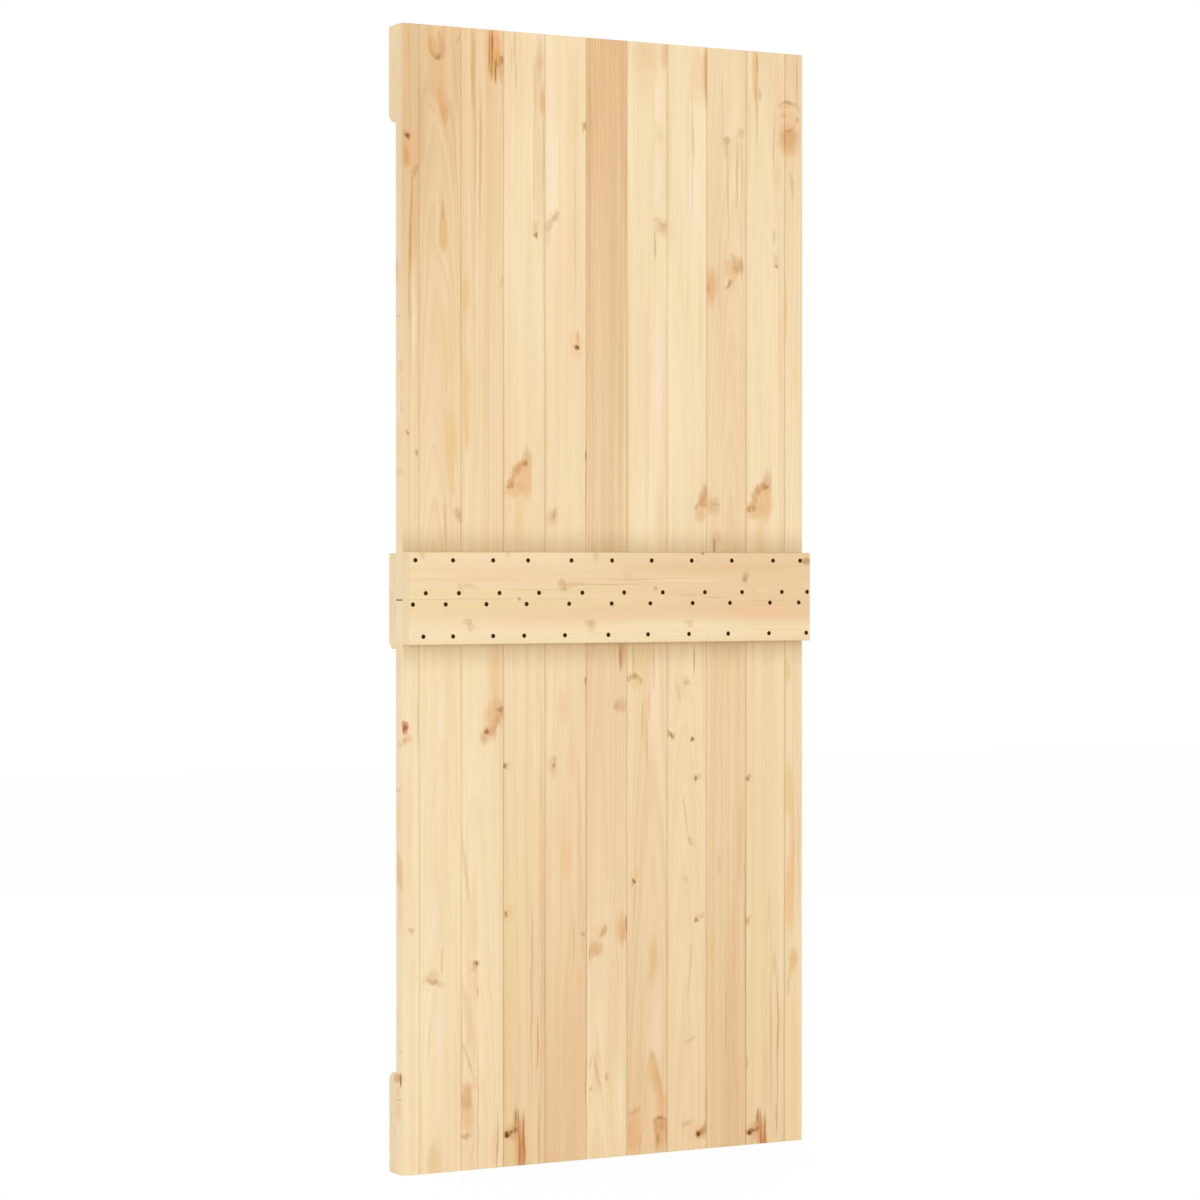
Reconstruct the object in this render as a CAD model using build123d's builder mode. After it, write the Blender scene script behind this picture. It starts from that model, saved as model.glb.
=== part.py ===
from build123d import *
import math
import os

os.makedirs("parts", exist_ok=True)

# A sliding door leaf of solid pine: half-length tongue-and-groove boards stand side by side in
# two courses that butt at mid height. Three rails lie across the front, and one wide rail lies
# across the back over the joint of the two courses, with four rows of countersunk screw seats.
#
# Millimetres. +X runs along the width, to the right as seen from the back, +Y points to the
# front and +Z up. The origin is the middle of the top rail's front face, where the hangers of
# the sliding track bolt on.

# Leaf
door_width = 860.0
door_height = 2100.0
board_thickness = 28.0
board_cover = 87.5
narrowest_strip = 20.0
strip_shift = 2.75
course_gap = 0.4

# Tongue and groove
tongue_length = 8.0
tongue_thickness = 8.0
tongue_bevel = 1.0
tongue_side_play = 0.2
tongue_end_play = 1.0
seam_gap = 0.3
seam_bevel = 2.2
leaf_edge_radius = 1.5

# Front rails
front_rail_thickness = 28.0
top_rail_height = 175.0
middle_rail_height = 175.0
middle_rail_drop = 2.0
bottom_rail_height = 184.0
rail_bevel = 11.0

# Back rail over the joint of the courses
back_rail_thickness = 28.0
back_rail_height = 169.0
back_rail_rise = 3.0

# Eased edges of all rails
rail_edge_radius = 2.0
rail_end_bevel = 0.8

# Seats that the heads of the screws sink in the back rail, one to each board in each row
screw_head_radius = 4.5
screw_head_angle = 90.0
outer_row_inset = 15.0
upper_row_reach = 12.5
lower_row_reach = 8.0

# How far each screw was driven beside the middle of its board, from the left board on
upper_outer_wander = (-4, 12, 7, -8, -4, -5, -7, -7, -6, -1, -3)
upper_inner_wander = (17, 24, 20, 15, 19, 21, 17, 22, 17, 19, 13)
lower_inner_wander = (-9, -3, -7, -11, -9, -6, -10, -5, -10, -8, -6)
lower_outer_wander = (12, 12, 7, -16, -18, -13, -15, -13, -14, -10, 11)

# Levels and layers, from the origin on the top rail's front face
left_edge = -door_width / 2
top_level = top_rail_height / 2
bottom_level = top_level - door_height
joint_level = (top_level + bottom_level) / 2
course_length = (door_height - course_gap) / 2
leaf_front = -front_rail_thickness
leaf_middle = leaf_front - board_thickness / 2
leaf_back = leaf_front - board_thickness
back_rail_face = leaf_back - back_rail_thickness
back_rail_level = joint_level + back_rail_rise

# As many full boards as fit, and the rest of the width in two ripped strips at the edges
full_boards = int((door_width - 2 * narrowest_strip) // board_cover)
strip_rest = door_width - full_boards * board_cover
first_seam = left_edge + strip_rest / 2 - strip_shift
seams = [first_seam + count * board_cover for count in range(full_boards + 1)]
board_lines = [left_edge] + seams + [left_edge + door_width]
board_middles = [(left + right) / 2 for left, right in zip(board_lines, board_lines[1:])]


def draw_board_section(column):
    """Draws one board's section between its two seams, with its tongue on the right."""
    grooved = column > 0
    tongued = column < len(board_middles) - 1
    left = board_lines[column] + (seam_gap / 2 if grooved else 0)
    right = board_lines[column + 1] - (seam_gap / 2 if tongued else 0)
    with Locations(((left + right) / 2, leaf_middle)):
        Rectangle(right - left, board_thickness)
    left_corners = vertices().group_by(Axis.X)[0]
    right_corners = vertices().group_by(Axis.X)[-1]
    if grooved:
        chamfer(left_corners, seam_bevel)
    else:
        fillet(left_corners, leaf_edge_radius)
    if tongued:
        chamfer(right_corners, seam_bevel)
    else:
        fillet(right_corners, leaf_edge_radius)
    if tongued:
        with Locations((right, leaf_middle)):
            Rectangle(tongue_length, tongue_thickness, align=(Align.MIN, Align.CENTER))
        chamfer(vertices().group_by(Axis.X)[-1], tongue_bevel)
    if grooved:
        groove_depth = tongue_length - seam_gap + tongue_end_play
        groove_width = tongue_thickness + 2 * tongue_side_play
        with Locations((left, leaf_middle)):
            Rectangle(
                groove_depth, groove_width, align=(Align.MIN, Align.CENTER), mode=Mode.SUBTRACT
            )


def make_board(name, column, base_level):
    """One half-length board, standing on its base level."""
    with BuildPart() as board:
        with BuildSketch(Plane.XY.offset(base_level)):
            draw_board_section(column)
        extrude(amount=course_length)
    board.part.label = name
    export_step(board.part, f"parts/{name}.step")


def make_front_rail(name, level, height, bevelled_side):
    """A rail across the front, with the long edge on its bevelled side, up or down, cut off.

    In its section the sketch's own X is the depth and its own Y the height.
    """
    with BuildPart() as rail:
        with BuildSketch(Plane.YZ.offset(left_edge)) as section:
            with Locations((leaf_front, level)):
                Rectangle(front_rail_thickness, height, align=(Align.MIN, Align.CENTER))
            front_corners = section.vertices().group_by(Axis.X)[-1].sort_by(Axis.Y)
            free_corner = front_corners[-1] if bevelled_side == "up" else front_corners[0]
            kept_corner = front_corners[0] if bevelled_side == "up" else front_corners[-1]
            chamfer(free_corner, rail_bevel)
            fillet(kept_corner, rail_edge_radius)
        extrude(amount=door_width)
        end_faces = rail.faces().filter_by(Plane.YZ)
        chamfer(end_faces.edges(), rail_end_bevel)
    rail.part.label = name
    export_step(rail.part, f"parts/{name}.step")


for column in range(len(board_middles)):
    number = f"{column + 1:02d}"
    make_board("upper_plank_" + number, column, joint_level + course_gap / 2)
    make_board("lower_plank_" + number, column, bottom_level)

make_front_rail("front_top_rail", 0, top_rail_height, "down")
make_front_rail(
    "front_middle_rail", joint_level - middle_rail_drop, middle_rail_height, "down"
)
make_front_rail(
    "front_bottom_rail", bottom_level + bottom_rail_height / 2, bottom_rail_height, "up"
)

# Back rail, with the conical seats of its self-boring screws
screw_rows = (
    (back_rail_level + back_rail_height / 2 - outer_row_inset, upper_outer_wander),
    (joint_level + upper_row_reach, upper_inner_wander),
    (joint_level - lower_row_reach, lower_inner_wander),
    (back_rail_level - back_rail_height / 2 + outer_row_inset, lower_outer_wander),
)
screw_places = [
    Plane(origin=(middle + wander[column % len(wander)], back_rail_face, level), z_dir=(0, -1, 0))
    for level, wander in screw_rows
    for column, middle in enumerate(board_middles)
]
seat_depth = screw_head_radius / math.tan(math.radians(screw_head_angle / 2))
with BuildPart() as back_middle_rail:
    with BuildSketch(Plane.YZ.offset(left_edge)) as back_section:
        with Locations((leaf_back, back_rail_level)):
            Rectangle(back_rail_thickness, back_rail_height, align=(Align.MAX, Align.CENTER))
        fillet(back_section.vertices().group_by(Axis.X)[0], rail_edge_radius)
    extrude(amount=door_width)
    chamfer(back_middle_rail.faces().filter_by(Plane.YZ).edges(), rail_end_bevel)
    with Locations(*screw_places):
        Cone(
            bottom_radius=0,
            top_radius=screw_head_radius,
            height=seat_depth,
            align=(Align.CENTER, Align.CENTER, Align.MAX),
            mode=Mode.SUBTRACT,
        )
back_middle_rail.part.label = "back_middle_rail"
export_step(back_middle_rail.part, "parts/back_middle_rail.step")
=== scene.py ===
import bpy
import bmesh
import math
from collections import namedtuple
from mathutils import Matrix, Vector


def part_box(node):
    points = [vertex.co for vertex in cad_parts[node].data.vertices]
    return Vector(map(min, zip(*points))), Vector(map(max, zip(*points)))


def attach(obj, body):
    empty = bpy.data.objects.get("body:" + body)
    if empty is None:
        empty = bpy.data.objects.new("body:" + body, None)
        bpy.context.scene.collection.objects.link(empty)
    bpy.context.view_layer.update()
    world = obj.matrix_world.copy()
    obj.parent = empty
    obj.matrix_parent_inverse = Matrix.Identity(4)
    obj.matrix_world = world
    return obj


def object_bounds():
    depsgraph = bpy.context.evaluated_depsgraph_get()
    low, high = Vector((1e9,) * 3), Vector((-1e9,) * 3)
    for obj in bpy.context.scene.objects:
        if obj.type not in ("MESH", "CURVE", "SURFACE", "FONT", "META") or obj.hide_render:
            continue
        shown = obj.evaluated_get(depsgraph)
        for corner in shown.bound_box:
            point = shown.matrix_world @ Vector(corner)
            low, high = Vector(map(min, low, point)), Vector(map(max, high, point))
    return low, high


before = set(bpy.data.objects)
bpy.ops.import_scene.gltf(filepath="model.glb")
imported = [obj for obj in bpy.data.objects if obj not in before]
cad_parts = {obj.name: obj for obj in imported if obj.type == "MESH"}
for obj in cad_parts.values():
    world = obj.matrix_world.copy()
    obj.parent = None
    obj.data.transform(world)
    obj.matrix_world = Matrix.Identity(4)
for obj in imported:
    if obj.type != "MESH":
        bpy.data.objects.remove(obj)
cad_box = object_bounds()

# The leaf of a pine sliding door, seen from its back. Metres, +X to the right as seen from the
# back, +Y out of the front face, +Z up. The marks in the wood are given in millimetres from the
# leaf's left edge and from its bottom.
MM = 0.001
LEFT_EDGE = cad_box[0].x
BOTTOM = cad_box[0].z
HEIGHT = cad_box[1].z - cad_box[0].z
LEAF_WIDTH = (cad_box[1].x - cad_box[0].x) / MM

# Boards
TONGUE_LENGTH = 8.0 * MM
COLUMNS = 11

# Screws: rows of seats in the back rail, measured from its edges and from the boards' joint
HEAD_RADIUS = 4.4 * MM
HEAD_SUNK = 0.3 * MM
OUTER_ROW_INSET = 15.0 * MM
UPPER_ROW_REACH = 12.5 * MM
LOWER_ROW_REACH = 8.0 * MM

# How far each screw was driven beside the middle of its board, from the left board on
UPPER_OUTER_WANDER = (-4, 12, 7, -8, -4, -5, -7, -7, -6, -1, -3)
UPPER_INNER_WANDER = (17, 24, 20, 15, 19, 21, 17, 22, 17, 19, 13)
LOWER_INNER_WANDER = (-9, -3, -7, -11, -9, -6, -10, -5, -10, -8, -6)
LOWER_OUTER_WANDER = (12, 12, 7, -16, -18, -13, -15, -13, -14, -10, 11)

# How much further each screw is turned than the one to its left and the one above, in radians
SPIN_BY_COLUMN = 0.77
SPIN_BY_ROW = 1.3

# Camera, in the leaf's own frame
CAMERA_PLACE = (-3.3125, -5.9697, -0.9037)
CAMERA_TURN = math.radians(29.12)
CAMERA_TILT = math.radians(-0.511)
LENS = 108.26
SENSOR = 36.0
FARTHEST_SEEN = 60.0

# Lights: place and size in metres, and power in watts. All point at the middle of the leaf,
# and white light comes from all round as well
LEAF_MIDDLE = (0.0, -0.04, BOTTOM + HEIGHT / 2)
LIGHTS = (
    ("key", (-8.4, -8.6, -0.9), 6.4, 620.0),
    ("fill", (6.8, -9.6, -0.9), 6.4, 170.0),
    ("behind", (2.6, 4.6, -0.4), 3.4, 60.0),
)
WORLD_STRENGTH = 0.71
WHITE = (1.0, 1.0, 1.0, 1.0)

# The floor, in metres, with its glow and the share of the leaf's shadow that shows on it
FLOOR_SIZE = 24.0
FLOOR_GAP = 1.0 * MM
FLOOR_GREY = (0.86, 0.86, 0.86, 1.0)
FLOOR_GLOW = 1.08
FLOOR_SHADOW = 0.2


def linear(red, green, blue):
    """A colour of 0 to 255, as it looks on a screen, as linear light."""
    channels = []
    for value in (red, green, blue):
        share = value / 255
        channels.append(share / 12.92 if share <= 0.04045 else ((share + 0.055) / 1.055) ** 2.4)
    return (*channels, 1.0)


# The wood's colours
CREAM = linear(249, 229, 190)
WHITE_PINK = linear(250, 225, 198)
STRAW = linear(238, 214, 152)
BLUSH = linear(242, 202, 158)
TAN = linear(230, 192, 145)
HONEY = linear(234, 192, 126)
PEACH = linear(240, 188, 134)
PINK = linear(231, 182, 132)
AMBER = linear(221, 174, 106)
SHADE = linear(208, 172, 124)
MOSS = linear(198, 174, 116)
CLAY = linear(214, 156, 100)
ORANGE = linear(228, 152, 80)
BRONZE = linear(192, 148, 94)
COPPER = linear(210, 154, 92)
UMBER = linear(156, 112, 62)
RUST = linear(184, 118, 64)
DARK = linear(112, 72, 30)
BLACK = linear(84, 52, 14)
RED_HEART = linear(146, 74, 52)

# A mark's width and height are half of what it spans, in millimetres like its depth
Mark = namedtuple(
    "Mark", "x z width height lean taper push body colour core dark streaks soft deep"
)

# How deep knots and other marks reach, and the strip at each side where knots are shallow too
THROUGH = 90.0
SHALLOW = 7.0
SIDE_MARGIN = 12.0
KNOT_PUSH = 0.35
KNOT_SOFTNESS = 0.7


def knot(x, z, width, height, body=0.75, colour=UMBER, core=0.8, dark=DARK, lean=0.0):
    """A small knot with a dark heart, round which the grain flows.

    Knots go through their board, but not beside the leaf's sides, which show none.
    """
    inside = SIDE_MARGIN < x < LEAF_WIDTH - SIDE_MARGIN
    deep = THROUGH if inside else SHALLOW
    push = KNOT_PUSH * width
    return Mark(
        x, z, width, height, lean, 0.0, push, body, colour, core, dark, 0.0, KNOT_SOFTNESS, deep
    )


def patch(
    x, z, width, height, colour, body,
    lean=0.0, taper=0.0, push=0.0, streaks=0.3, soft=0.8, deep=SHALLOW,
):
    """A soft patch, stripe or stain of another colour, drawn out along the grain."""
    return Mark(
        x, z, width, height, lean, taper, push, body, colour, 0.0, DARK, streaks, soft, deep
    )


def blot(x, z, width, height, colour, body, **shape):
    """A patch that covers its wood almost evenly."""
    return patch(x, z, width, height, colour, body, streaks=0.1, **shape)


def spot(x, z, width, height, colour, body, **shape):
    """A patch that covers its wood evenly."""
    return patch(x, z, width, height, colour, body, streaks=0.0, **shape)


def streak(x, z, width, height, colour, body, lean=0.0, taper=0.0):
    """A thin line along the grain, such as a resin canal or a drying crack."""
    return patch(x, z, width, height, colour, body, lean, taper, streaks=0.0, soft=0.6)


def flame(x, z, width, height, colour, body, lean=0.0, taper=0.0, push=6.0, soft=0.5):
    """The pointed figure of a ring that the saw has cut along its crown."""
    return patch(x, z, width, height, colour, body, lean, taper, push, 0.3, soft)


Board = namedtuple("Board", "top low pith tilt spacing contrast marks")

# How far the pith leans across a board, for each metre along it
FLAT_SIDE_TILT = 0.004
RIFT_SIDE_TILT = 0.003


def flat(side=0.0, behind=48.0, tilt=0.02):
    """Pith and tilt of a board sawn beside the heart, whose rings run out in pointed arches."""
    return (side, behind), (FLAT_SIDE_TILT, tilt)


def rift(side=70.0, behind=45.0, tilt=0.006):
    """Pith and tilt of a board whose rings cross its face at a slant, in close straight lines."""
    return (side, behind), (RIFT_SIDE_TILT, tilt)


def board(top, low, cut, spacing, contrast, *marks):
    """One board's looks: its tone at the top and low end, its cut, its rings and its marks."""
    return Board(top, low, cut[0], cut[1], spacing, contrast, marks)


def cluster(x, z):
    """A group of small slanting knots in a resin stain, as two of the upper boards have."""
    return (
        patch(x + 5, z - 80, 12, 58, HONEY, 0.5, soft=1.0),
        blot(x + 19, z + 29, 11, 23, SHADE, 0.6),
        patch(x + 14, z - 4, 17, 42, PINK, 0.85, soft=0.6),
        patch(x + 20, z - 14, 7, 28, PEACH, 0.4),
        patch(x - 8, z - 24, 18, 17, AMBER, 0.55, soft=0.7),
        patch(x - 4, z + 9, 12, 15, linear(208, 166, 110), 0.7, lean=0.3, streaks=0.2, soft=0.6),
        patch(x - 13, z - 12, 9, 15, CLAY, 0.65, lean=0.3, streaks=0.2, soft=0.6),
        patch(x + 8, z + 20, 10, 12, CLAY, 0.55, lean=0.6, streaks=0.2),
        spot(x - 2, z + 13, 6, 7, COPPER, 0.4),
        patch(x - 15, z - 34, 14, 10, PEACH, 0.5, soft=0.7),
        knot(x + 16, z + 21, 6.5, 6, body=0.85, colour=BRONZE, core=0.12),
        knot(x - 11, z - 20, 6, 6.5, body=0.75, colour=COPPER, core=0.12),
        knot(x - 22, z - 21, 4.5, 6, body=0.6, colour=BRONZE, core=0.1),
    )


def resin_pocket(x, z):
    """A black knot beside streaks that are soaked with resin, at the foot of a board."""
    return (
        blot(x + 9, z - 33, 9, 25, linear(230, 204, 142), 0.65),
        patch(x + 15, z + 4, 19, 18, CLAY, 0.6, soft=0.7),
        patch(x + 24, z - 20, 8, 38, linear(224, 166, 114), 0.7, streaks=0.2, soft=0.7),
        patch(x + 32, z - 8, 8.5, 42, CLAY, 0.7, streaks=0.2, soft=0.6),
        patch(x + 32, z - 46, 8, 48, linear(206, 144, 84), 0.9, streaks=0.15, soft=0.7),
        patch(x + 21, z + 22, 8, 17, CLAY, 0.5, streaks=0.5),
        streak(x + 26, z + 14, 2.4, 32, BRONZE, 0.8),
        streak(x + 26.5, z - 30, 2.0, 36, RUST, 0.7),
        streak(x + 36.5, z - 8, 2.2, 50, RUST, 0.8),
        patch(x + 20, z + 31, 4.5, 18, linear(190, 138, 80), 0.8, streaks=0.6),
        streak(x + 20, z + 32, 1.6, 16, UMBER, 0.6),
        knot(x + 19, z + 7, 5.5, 7, colour=RUST, core=0.25),
        knot(x + 9, z + 4, 5.5, 5, colour=UMBER, core=0.4),
        knot(x, z, 6.2, 6.2, body=0.85, colour=linear(150, 104, 44), core=0.9, dark=BLACK),
        blot(x + 6, z + 3, 6, 5, RUST, 0.5),
    )


def split_knot():
    """The big oval stain that the seam before the last strip cuts in two."""
    return (
        patch(827, 1950, 25, 54, PINK, 0.6, soft=0.7, push=5.0),
        blot(822, 1982, 20, 22, BLUSH, 0.55),
        patch(829, 1935, 24, 27, CLAY, 0.5, soft=0.7),
        blot(826, 1936, 16, 20, COPPER, 0.3),
        blot(832, 1912, 17, 12, PINK, 0.4),
        blot(827, 2006, 14, 4.6, BRONZE, 0.5),
        blot(828, 2007, 9, 2.6, UMBER, 0.32),
        blot(811, 2001, 7, 6, SHADE, 0.45, lean=0.9),
        blot(843, 2002, 7, 6, SHADE, 0.5, lean=-0.9),
        patch(827, 1998, 9, 2.4, CLAY, 0.4, streaks=0.2),
        patch(812, 1991, 7, 6, BLUSH, 0.6),
        spot(819, 1981, 6, 4, CLAY, 0.4, lean=0.5),
        patch(850, 1994, 3, 8, SHADE, 0.4, lean=-0.5),
        spot(829, 1951, 6, 4, RUST, 0.45),
        spot(847, 1974, 3, 4.5, BRONZE, 0.6),
    )


LOOKS = {}

LOOKS["upper_plank_01"] = board(
    0.85, 0.35, rift(-60, 40), 3.4, 0.4,
    patch(17, 1850, 40, 330, SHADE, 0.28, streaks=0.4),
    patch(20, 1868, 22, 42, PINK, 0.6, soft=1.0),
    patch(8, 1857, 7, 20, COPPER, 0.75, taper=0.2),
    patch(6, 1876, 4, 14, CLAY, 0.5),
    patch(28, 1836, 10, 9, BRONZE, 0.4, lean=0.6),
    patch(5, 1900, 5, 8, CLAY, 0.5),
    patch(14, 1882, 9, 22, PINK, 0.5),
    knot(10.5, 1894, 5.2, 7.5, body=0.7, colour=RUST, core=0.7),
    patch(24, 1740, 5, 90, PINK, 0.7),
    patch(24, 1826, 5, 14, BRONZE, 0.4, lean=0.5),
    patch(18, 1770, 2.6, 66, CLAY, 0.85, lean=0.03, streaks=0.2, soft=0.6),
    patch(15, 1690, 2.6, 60, COPPER, 0.9, streaks=0.2, soft=0.6),
    patch(14, 1600, 2.2, 50, BRONZE, 0.4, streaks=0.2, soft=0.6),
    patch(24, 1560, 5, 110, CREAM, 0.5),
    knot(10.2, 1355, 4.5, 5, body=0.6, colour=SHADE, core=0.3),
    knot(29, 1319, 3.6, 9, body=0.7, colour=SHADE, core=0.35),
    blot(-14, 1642, 12, 24, BLUSH, 0.7),
    blot(-24, 1650, 6, 30, SHADE, 0.4),
    spot(-15, 1568, 12, 2.4, SHADE, 0.45),
    blot(-14, 1556, 11, 9, STRAW, 0.5),
    blot(-12, 1520, 9, 24, BLUSH, 0.4),
    blot(-8, 1478, 11, 14, TAN, 0.55),
    blot(-14, 1466, 13, 7, STRAW, 0.6),
    blot(-3, 1440, 6, 22, PINK, 0.4),
    blot(-14, 1396, 12, 16, WHITE_PINK, 0.8),
    blot(-3, 1400, 5, 18, SHADE, 0.35),
    blot(-10, 1350, 10, 24, BLUSH, 0.45),
    blot(-16, 1322, 11, 12, STRAW, 0.5),
    blot(-13, 1283, 12, 8, PINK, 0.5),
)
LOOKS["upper_plank_02"] = board(
    0.85, 0.4, flat(-8, 45, 0.03), 4.2, 0.4,
    patch(50, 1950, 20, 260, SHADE, 0.25, streaks=0.4),
    patch(70, 2066, 26, 36, PINK, 0.5, soft=0.9),
    patch(77, 1978, 14, 64, PINK, 0.7, lean=-0.12, taper=-0.6, push=6.0, soft=0.5),
    patch(78, 1966, 6.5, 30, AMBER, 0.8, lean=-0.1, soft=0.8),
    patch(87, 1934, 8, 24, CLAY, 0.6, taper=-0.5, soft=0.6),
    patch(65, 2062, 8, 17, AMBER, 0.5),
    patch(56.5, 2063, 3.2, 18, COPPER, 0.6, lean=-0.05),
    blot(60, 2048, 4.5, 9, COPPER, 0.6, lean=-0.5),
    blot(81, 2061, 8, 22, linear(216, 162, 116), 0.65),
    blot(77, 2048, 6, 9, CLAY, 0.55, lean=0.4),
    blot(69, 2043, 9, 6, BRONZE, 0.5),
    spot(71.5, 2041, 7, 5, UMBER, 0.45),
    spot(57, 2077, 4, 3, AMBER, 0.6),
    patch(75, 2084, 4.5, 8, BRONZE, 0.5),
    patch(113, 2078, 2, 12, BRONZE, 0.45, lean=0.35),
    patch(110, 2010, 6, 80, MOSS, 0.25),
    patch(36, 1955, 3.5, 75, BRONZE, 0.3),
    patch(37, 1880, 9, 34, PINK, 0.5),
    patch(94, 1735, 6, 44, BLUSH, 0.5),
    flame(84, 1727, 9.5, 42, AMBER, 0.7, taper=0.3),
    patch(83, 1764, 4.5, 20, BRONZE, 0.5),
    patch(97, 1520, 17, 110, HONEY, 0.35, lean=0.03),
    flame(99, 1320, 12, 84, HONEY, 0.65, taper=-0.6),
    patch(114, 1206, 8, 15, SHADE, 0.8, lean=-0.3),
    patch(118, 1200, 4, 10, BRONZE, 0.3),
    patch(87, 1190, 4.5, 42, SHADE, 0.55),
)
LOOKS["upper_plank_03"] = board(
    0.62, 0.3, rift(80, 30), 3.8, 0.4,
    patch(128, 1980, 5, 130, BLUSH, 0.5),
    blot(146, 2030, 5, 95, AMBER, 0.72, soft=0.8),
    patch(148, 1900, 4.5, 90, AMBER, 0.5, streaks=0.2, soft=0.8),
    patch(150, 1760, 4.5, 110, HONEY, 0.4, streaks=0.2, soft=1.0),
    patch(162, 1890, 2.0, 80, CLAY, 0.5),
    patch(144, 2030, 3, 70, BRONZE, 0.3),
    patch(159, 1860, 2.5, 150, CLAY, 0.6),
    patch(153, 1700, 3, 240, CREAM, 0.5),
    patch(186, 2056, 18, 50, PEACH, 0.85, streaks=0.2, soft=0.6),
    patch(193, 2066, 9, 36, ORANGE, 0.45, streaks=0.3),
    patch(194, 2046, 7, 20, COPPER, 0.55, streaks=0.3),
    patch(189, 2032, 11, 26, AMBER, 0.85, streaks=0.3),
    patch(181, 2062, 6, 44, COPPER, 0.85, streaks=0.7, soft=0.6),
    patch(178.5, 2062, 2.2, 40, RUST, 0.65, soft=0.6),
    patch(185, 2056, 2.8, 46, RUST, 0.85, streaks=0.5, soft=0.6),
    streak(184.5, 2080, 1.3, 20, RED_HEART, 0.5),
    streak(177.5, 2048, 1.5, 24, BRONZE, 0.7),
    patch(183, 2022, 2.4, 16, UMBER, 0.5, soft=0.6),
    streak(192.5, 2022, 1.9, 19, UMBER, 0.9),
    blot(193.5, 2040, 4, 8, RUST, 0.85),
    patch(203, 2026, 4.5, 22, BRONZE, 0.5),
    knot(204, 2046, 6, 9.5, body=0.8, colour=BRONZE, core=0.35),
    patch(176, 1985, 6, 30, PINK, 0.4),
    patch(184, 1850, 20, 200, HONEY, 0.35),
    patch(129, 1612, 8, 38, HONEY, 0.8),
    patch(131, 1410, 8, 90, HONEY, 0.7, taper=-0.3, soft=0.6),
    patch(132, 1350, 5, 22, PEACH, 0.6),
    patch(204, 1637, 6, 10, SHADE, 0.5, lean=0.4),
)
LOOKS["upper_plank_04"] = board(
    0.2, 0.22, rift(-90, 50), 4.5, 0.12,
    blot(250, 2030, 44, 110, HONEY, 0.2, soft=1.0),
    patch(230.5, 2070, 3.0, 36, SHADE, 0.6, streaks=0.5),
    streak(235, 2018, 1.8, 26, SHADE, 0.5),
    streak(225, 2050, 1.4, 30, SHADE, 0.35),
    patch(283, 2045, 8, 56, SHADE, 0.5, streaks=0.5),
    patch(282, 1850, 7, 110, SHADE, 0.2, streaks=0.6),
    streak(271.5, 1900, 1.6, 190, SHADE, 0.4),
    streak(291.5, 1870, 1.8, 90, BRONZE, 0.35),
    blot(289, 1975, 6, 28, PINK, 0.6),
    patch(242, 2075, 4, 30, BLUSH, 0.6),
    patch(275, 2000, 3, 70, SHADE, 0.45),
    patch(283, 2045, 9, 14, PINK, 0.6),
    patch(281, 1890, 11, 200, TAN, 0.45),
    patch(288, 1975, 6, 26, PINK, 0.85, soft=0.7),
    patch(292.5, 1760, 3.5, 330, MOSS, 0.35),
    patch(275, 1740, 8, 16, TAN, 0.7),
    knot(274.5, 1728, 6, 5.5, body=0.7, colour=BRONZE, core=0.35),
    *cluster(237, 1280),
)
LOOKS["upper_plank_05"] = board(
    0.1, 0.25, rift(110, 60), 4.5, 0.15,
    blot(345, 2010, 44, 130, HONEY, 0.2, soft=1.0),
    patch(307, 1830, 8, 260, WHITE_PINK, 0.6),
    patch(350, 1700, 24, 300, BLUSH, 0.35),
    blot(300, 1726, 8, 18, TAN, 0.4),
    blot(303, 1745, 9, 13, linear(222, 188, 150), 0.7, lean=0.45),
    blot(315, 1763, 8.5, 10, linear(212, 182, 142), 0.85, lean=0.4),
    patch(378.5, 1935, 6.5, 8, BRONZE, 0.75, streaks=0.2),
    streak(358, 1780, 2.2, 220, TAN, 0.6),
    patch(361, 1524, 13, 27, PEACH, 0.5),
    streak(363.5, 1540, 2.4, 14, CLAY, 0.6),
    knot(361, 1521, 5.5, 5, colour=RUST, core=0.8),
    patch(303, 1335, 10, 12, STRAW, 0.5),
    blot(307, 1202, 14, 16, TAN, 0.7),
    spot(314, 1208, 7, 12, SHADE, 0.5, lean=0.3),
    spot(314, 1206, 4, 5, BRONZE, 0.3),
    streak(382, 1265, 2, 90, BRONZE, 0.4),
    streak(381.8, 1317, 1.8, 11, DARK, 0.75),
)
LOOKS["upper_plank_06"] = board(
    0.94, 0.52, rift(-50, 30, 0.01), 3.2, 0.7,
    patch(389, 1880, 5, 260, BRONZE, 0.35, streaks=0.5),
    patch(405, 1960, 12, 190, CLAY, 0.25, streaks=0.6),
    patch(413, 1780, 4, 200, PINK, 0.5, streaks=0.5),
    patch(419, 1840, 3, 110, PEACH, 0.5, streaks=0.3),
    patch(464, 1770, 3, 120, linear(238, 204, 142), 0.7, streaks=0.4),
    streak(467, 1750, 1.6, 160, BRONZE, 0.35),
    patch(441, 1650, 14, 280, MOSS, 0.2, streaks=0.5),
    patch(463, 1960, 7, 190, CLAY, 0.35, streaks=0.5),
    patch(456, 1400, 7, 200, MOSS, 0.2, streaks=0.5),
)
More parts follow.
